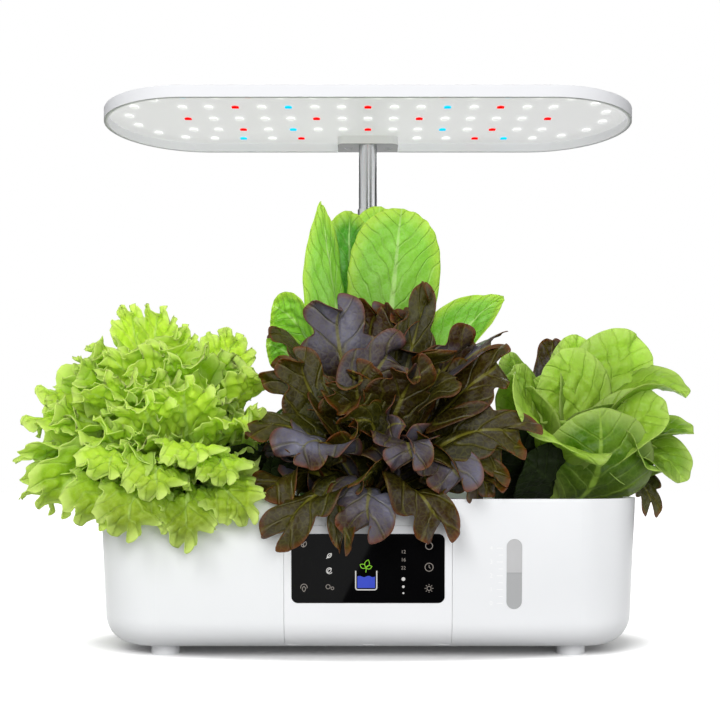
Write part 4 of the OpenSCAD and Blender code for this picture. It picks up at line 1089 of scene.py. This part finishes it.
# Old leaves low round each stem, in the shade of the rest: their dark colours are painted shade
def low_leaves():
    broad = dict(stalk=0.4, broad=0.4, shoulder=0.6, cup=0.3, blister=1.2,
                 waves=((3, 0.12, 1.6), (7, 0.08, 3.0)))
    return dict(left=single(
        (-140, -24), broad,
        ((-95, -60, 136), (-78, -66, 150), 56, (1, 0, 0.4), 0.4),
        ((-106, -30, 128), (-75, -20, 136), 60, (0.6, 0.6, 0.5), 0.2),
        ((-95, 10, 128), (-86, 20, 160), 60, (0.6, -0.8, 0.3), 0.5)), front=single(
        (0, -48), broad,
        ((-36, -60, 136), (-68, -66, 151), 62, (0.8, 0, 0.6), 0.4),
        ((39, -60, 136), (80, -66, 154), 66, (0.8, 0, -0.6), 0.3),
        ((54, -50, 129), (89, -60, 132), 56, (0.5, 0, -1), 0.6),
        ((-51, -50, 129), (-79, -60, 129), 56, (0.5, 0, 1), 0.6)), rear=single(
        (0, 14), broad,
        ((-39, 20, 144), (-72, 24, 185), 66, (0.8, 0, 0.6), 0.4),
        ((42, 20, 144), (92, 24, 193), 70, (0.8, 0, -0.6), 0.3),
        ((26, 30, 127), (100, 26, 144), 60, (0.5, 0, -1), 0.6),
        ((-23, 30, 127), (-80, 26, 144), 60, (0.5, 0, 1), 0.6)), right=single(
        (145, -12), broad,
        ((122, -50, 136), (99, -56, 159), 62, (1, 0, 0.5), 0.4),
        ((117, -30, 128), (96, -40, 133), 60, (0.6, 0.5, 1), 0.2),
        ((139, 10, 128), (107, 16, 176), 66, (0.8, 0, 0.5), 0.5),
        ((143, -60, 129), (115, -68, 142), 56, (0.8, 0, 0.6), 0.7)))


curly_skin = leaf_material(
    "curly_lettuce_leaf", foot="#6c9a12", low="#b2da2a", high="#d8f452", rim="#ecfaa0", rib="#dcf29c",
    veins=5, through=0.46, roughness=0.45, gloss=0.3, mark=0.24, bottom_colour="#7f8c22")
oak_skin = leaf_material(
    "red_oakleaf_lettuce_leaf", foot="#0c1404", low="#3e3e06", high="#341a06", rim="#6e340a",
    rib="#827e28", veins=4, through=0.11, roughness=0.34, gloss=0.4, painted_sheen="#747488",
    foot_shade_end=0.72, mark=0.26, rim_from=0.86)
cos_skin = leaf_material(
    "cos_lettuce_leaf", foot="#5c9a26", low="#4ca52c", high="#9cda4a", rim="#d6f05a", rib="#d8f2ac",
    veins=8, through=0.4, roughness=0.38, gloss=0.4, mark=0.16)
butter_skin = leaf_material(
    "butterhead_lettuce_leaf", foot="#333f04", low="#5f9a08", high="#c4ee50", rim="#e0f88c",
    rib="#b8da58", veins=6, through=0.4, roughness=0.38, gloss=0.35, foot_shade_end=1.25, mark=0.3,
    bottom_colour="#46560c")
# painted shade: the low leaves' dark greens, near black but for the rear's
cos_low_skin = leaf_material(
    "shaded_cos_leaf", foot="#142208", low="#223c0c", high="#32520f", rim="#446616", rib="#4c6c20",
    veins=6, through=0.15, roughness=0.5, gloss=0.3)
low_skin = leaf_material(
    "shaded_lettuce_leaf", foot="#0a0e04", low="#121a06", high="#1a2608", rim="#22300c",
    rib="#28360f", veins=5, through=0.1, roughness=0.6, gloss=0.2)

grow_in_parts("left", curly_leaves(), 20, curly_skin, along=54, across=44)
grow_in_parts("front", oakleaf_leaves(), 30, oak_skin)
grow_in_parts("rear", romaine_leaves(), 30, cos_skin)
grow_in_parts("right", butterhead_leaves(), 34, butter_skin)
grow("butterhead_red_leaves", red_leaves(), oak_skin, "right")
for pod, leaves in low_leaves().items():
    grow(KINDS[pod] + "_low_leaves", leaves, cos_low_skin if pod == "rear" else low_skin, pod)


# ---------- growing sponges ----------

def sponge_brown():
    """Pressed peat sponge: matt, crumbly, with pores of about 1.5 mm."""
    material, tree, place = new_material("peat_sponge")
    pores = add(tree, "TexVoronoi", {"Vector": place, "Scale": 1 / (1.5 * MM)})
    tint = add(tree, "Mix", {"Factor": pores, "A": "#2f2018", "B": "#5b4230"}, data_type="RGBA")
    bump = add(tree, "Bump", {"Height": pores, "Strength": 0.8, "Distance": 0.5 * MM})
    return surfaced(material, add(tree, "BsdfPrincipled", {
        "Base Color": tint, "Roughness": 0.95, "Normal": bump}))


CRUMBLED = 0.03


def add_sponge(name, body, material, seed):
    """A crumbly round plug in the place of its plain solid, with a softened edge. Its points are
    pressed in by up to a share of CRUMBLED, in the order of their places, the same in every run."""
    low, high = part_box(name)
    radius, height = (high.x - low.x) / 2, high.z - low.z
    rng = Random(seed)
    bm = bmesh.new()
    bmesh.ops.create_cone(bm, cap_ends=True, segments=36, radius1=radius, radius2=radius, depth=height)
    rims = [e for e in bm.edges if abs(e.verts[0].co.z - e.verts[1].co.z) < 1e-6]
    bmesh.ops.bevel(bm, geom=rims, offset=1.6 * MM, segments=2, profile=0.5, affect="EDGES",
                    material=-1)
    bmesh.ops.triangulate(bm, faces=bm.faces)
    bmesh.ops.subdivide_edges(bm, edges=bm.edges, cuts=2, use_grid_fill=True)
    for vertex in sorted(bm.verts, key=lambda v: v.co.to_tuple(6)):
        vertex.co *= 1 - rng.uniform(0, CRUMBLED)
    bmesh.ops.translate(bm, verts=bm.verts, vec=(low + high) / 2)
    piece = finish_piece(name + "_peat", bm, material, body)
    piece.data.shade_smooth()
    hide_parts(name)


peat = sponge_brown()
for seed, pod in enumerate(KINDS):
    add_sponge("sponge_" + pod, "pod_" + pod, peat, seed)
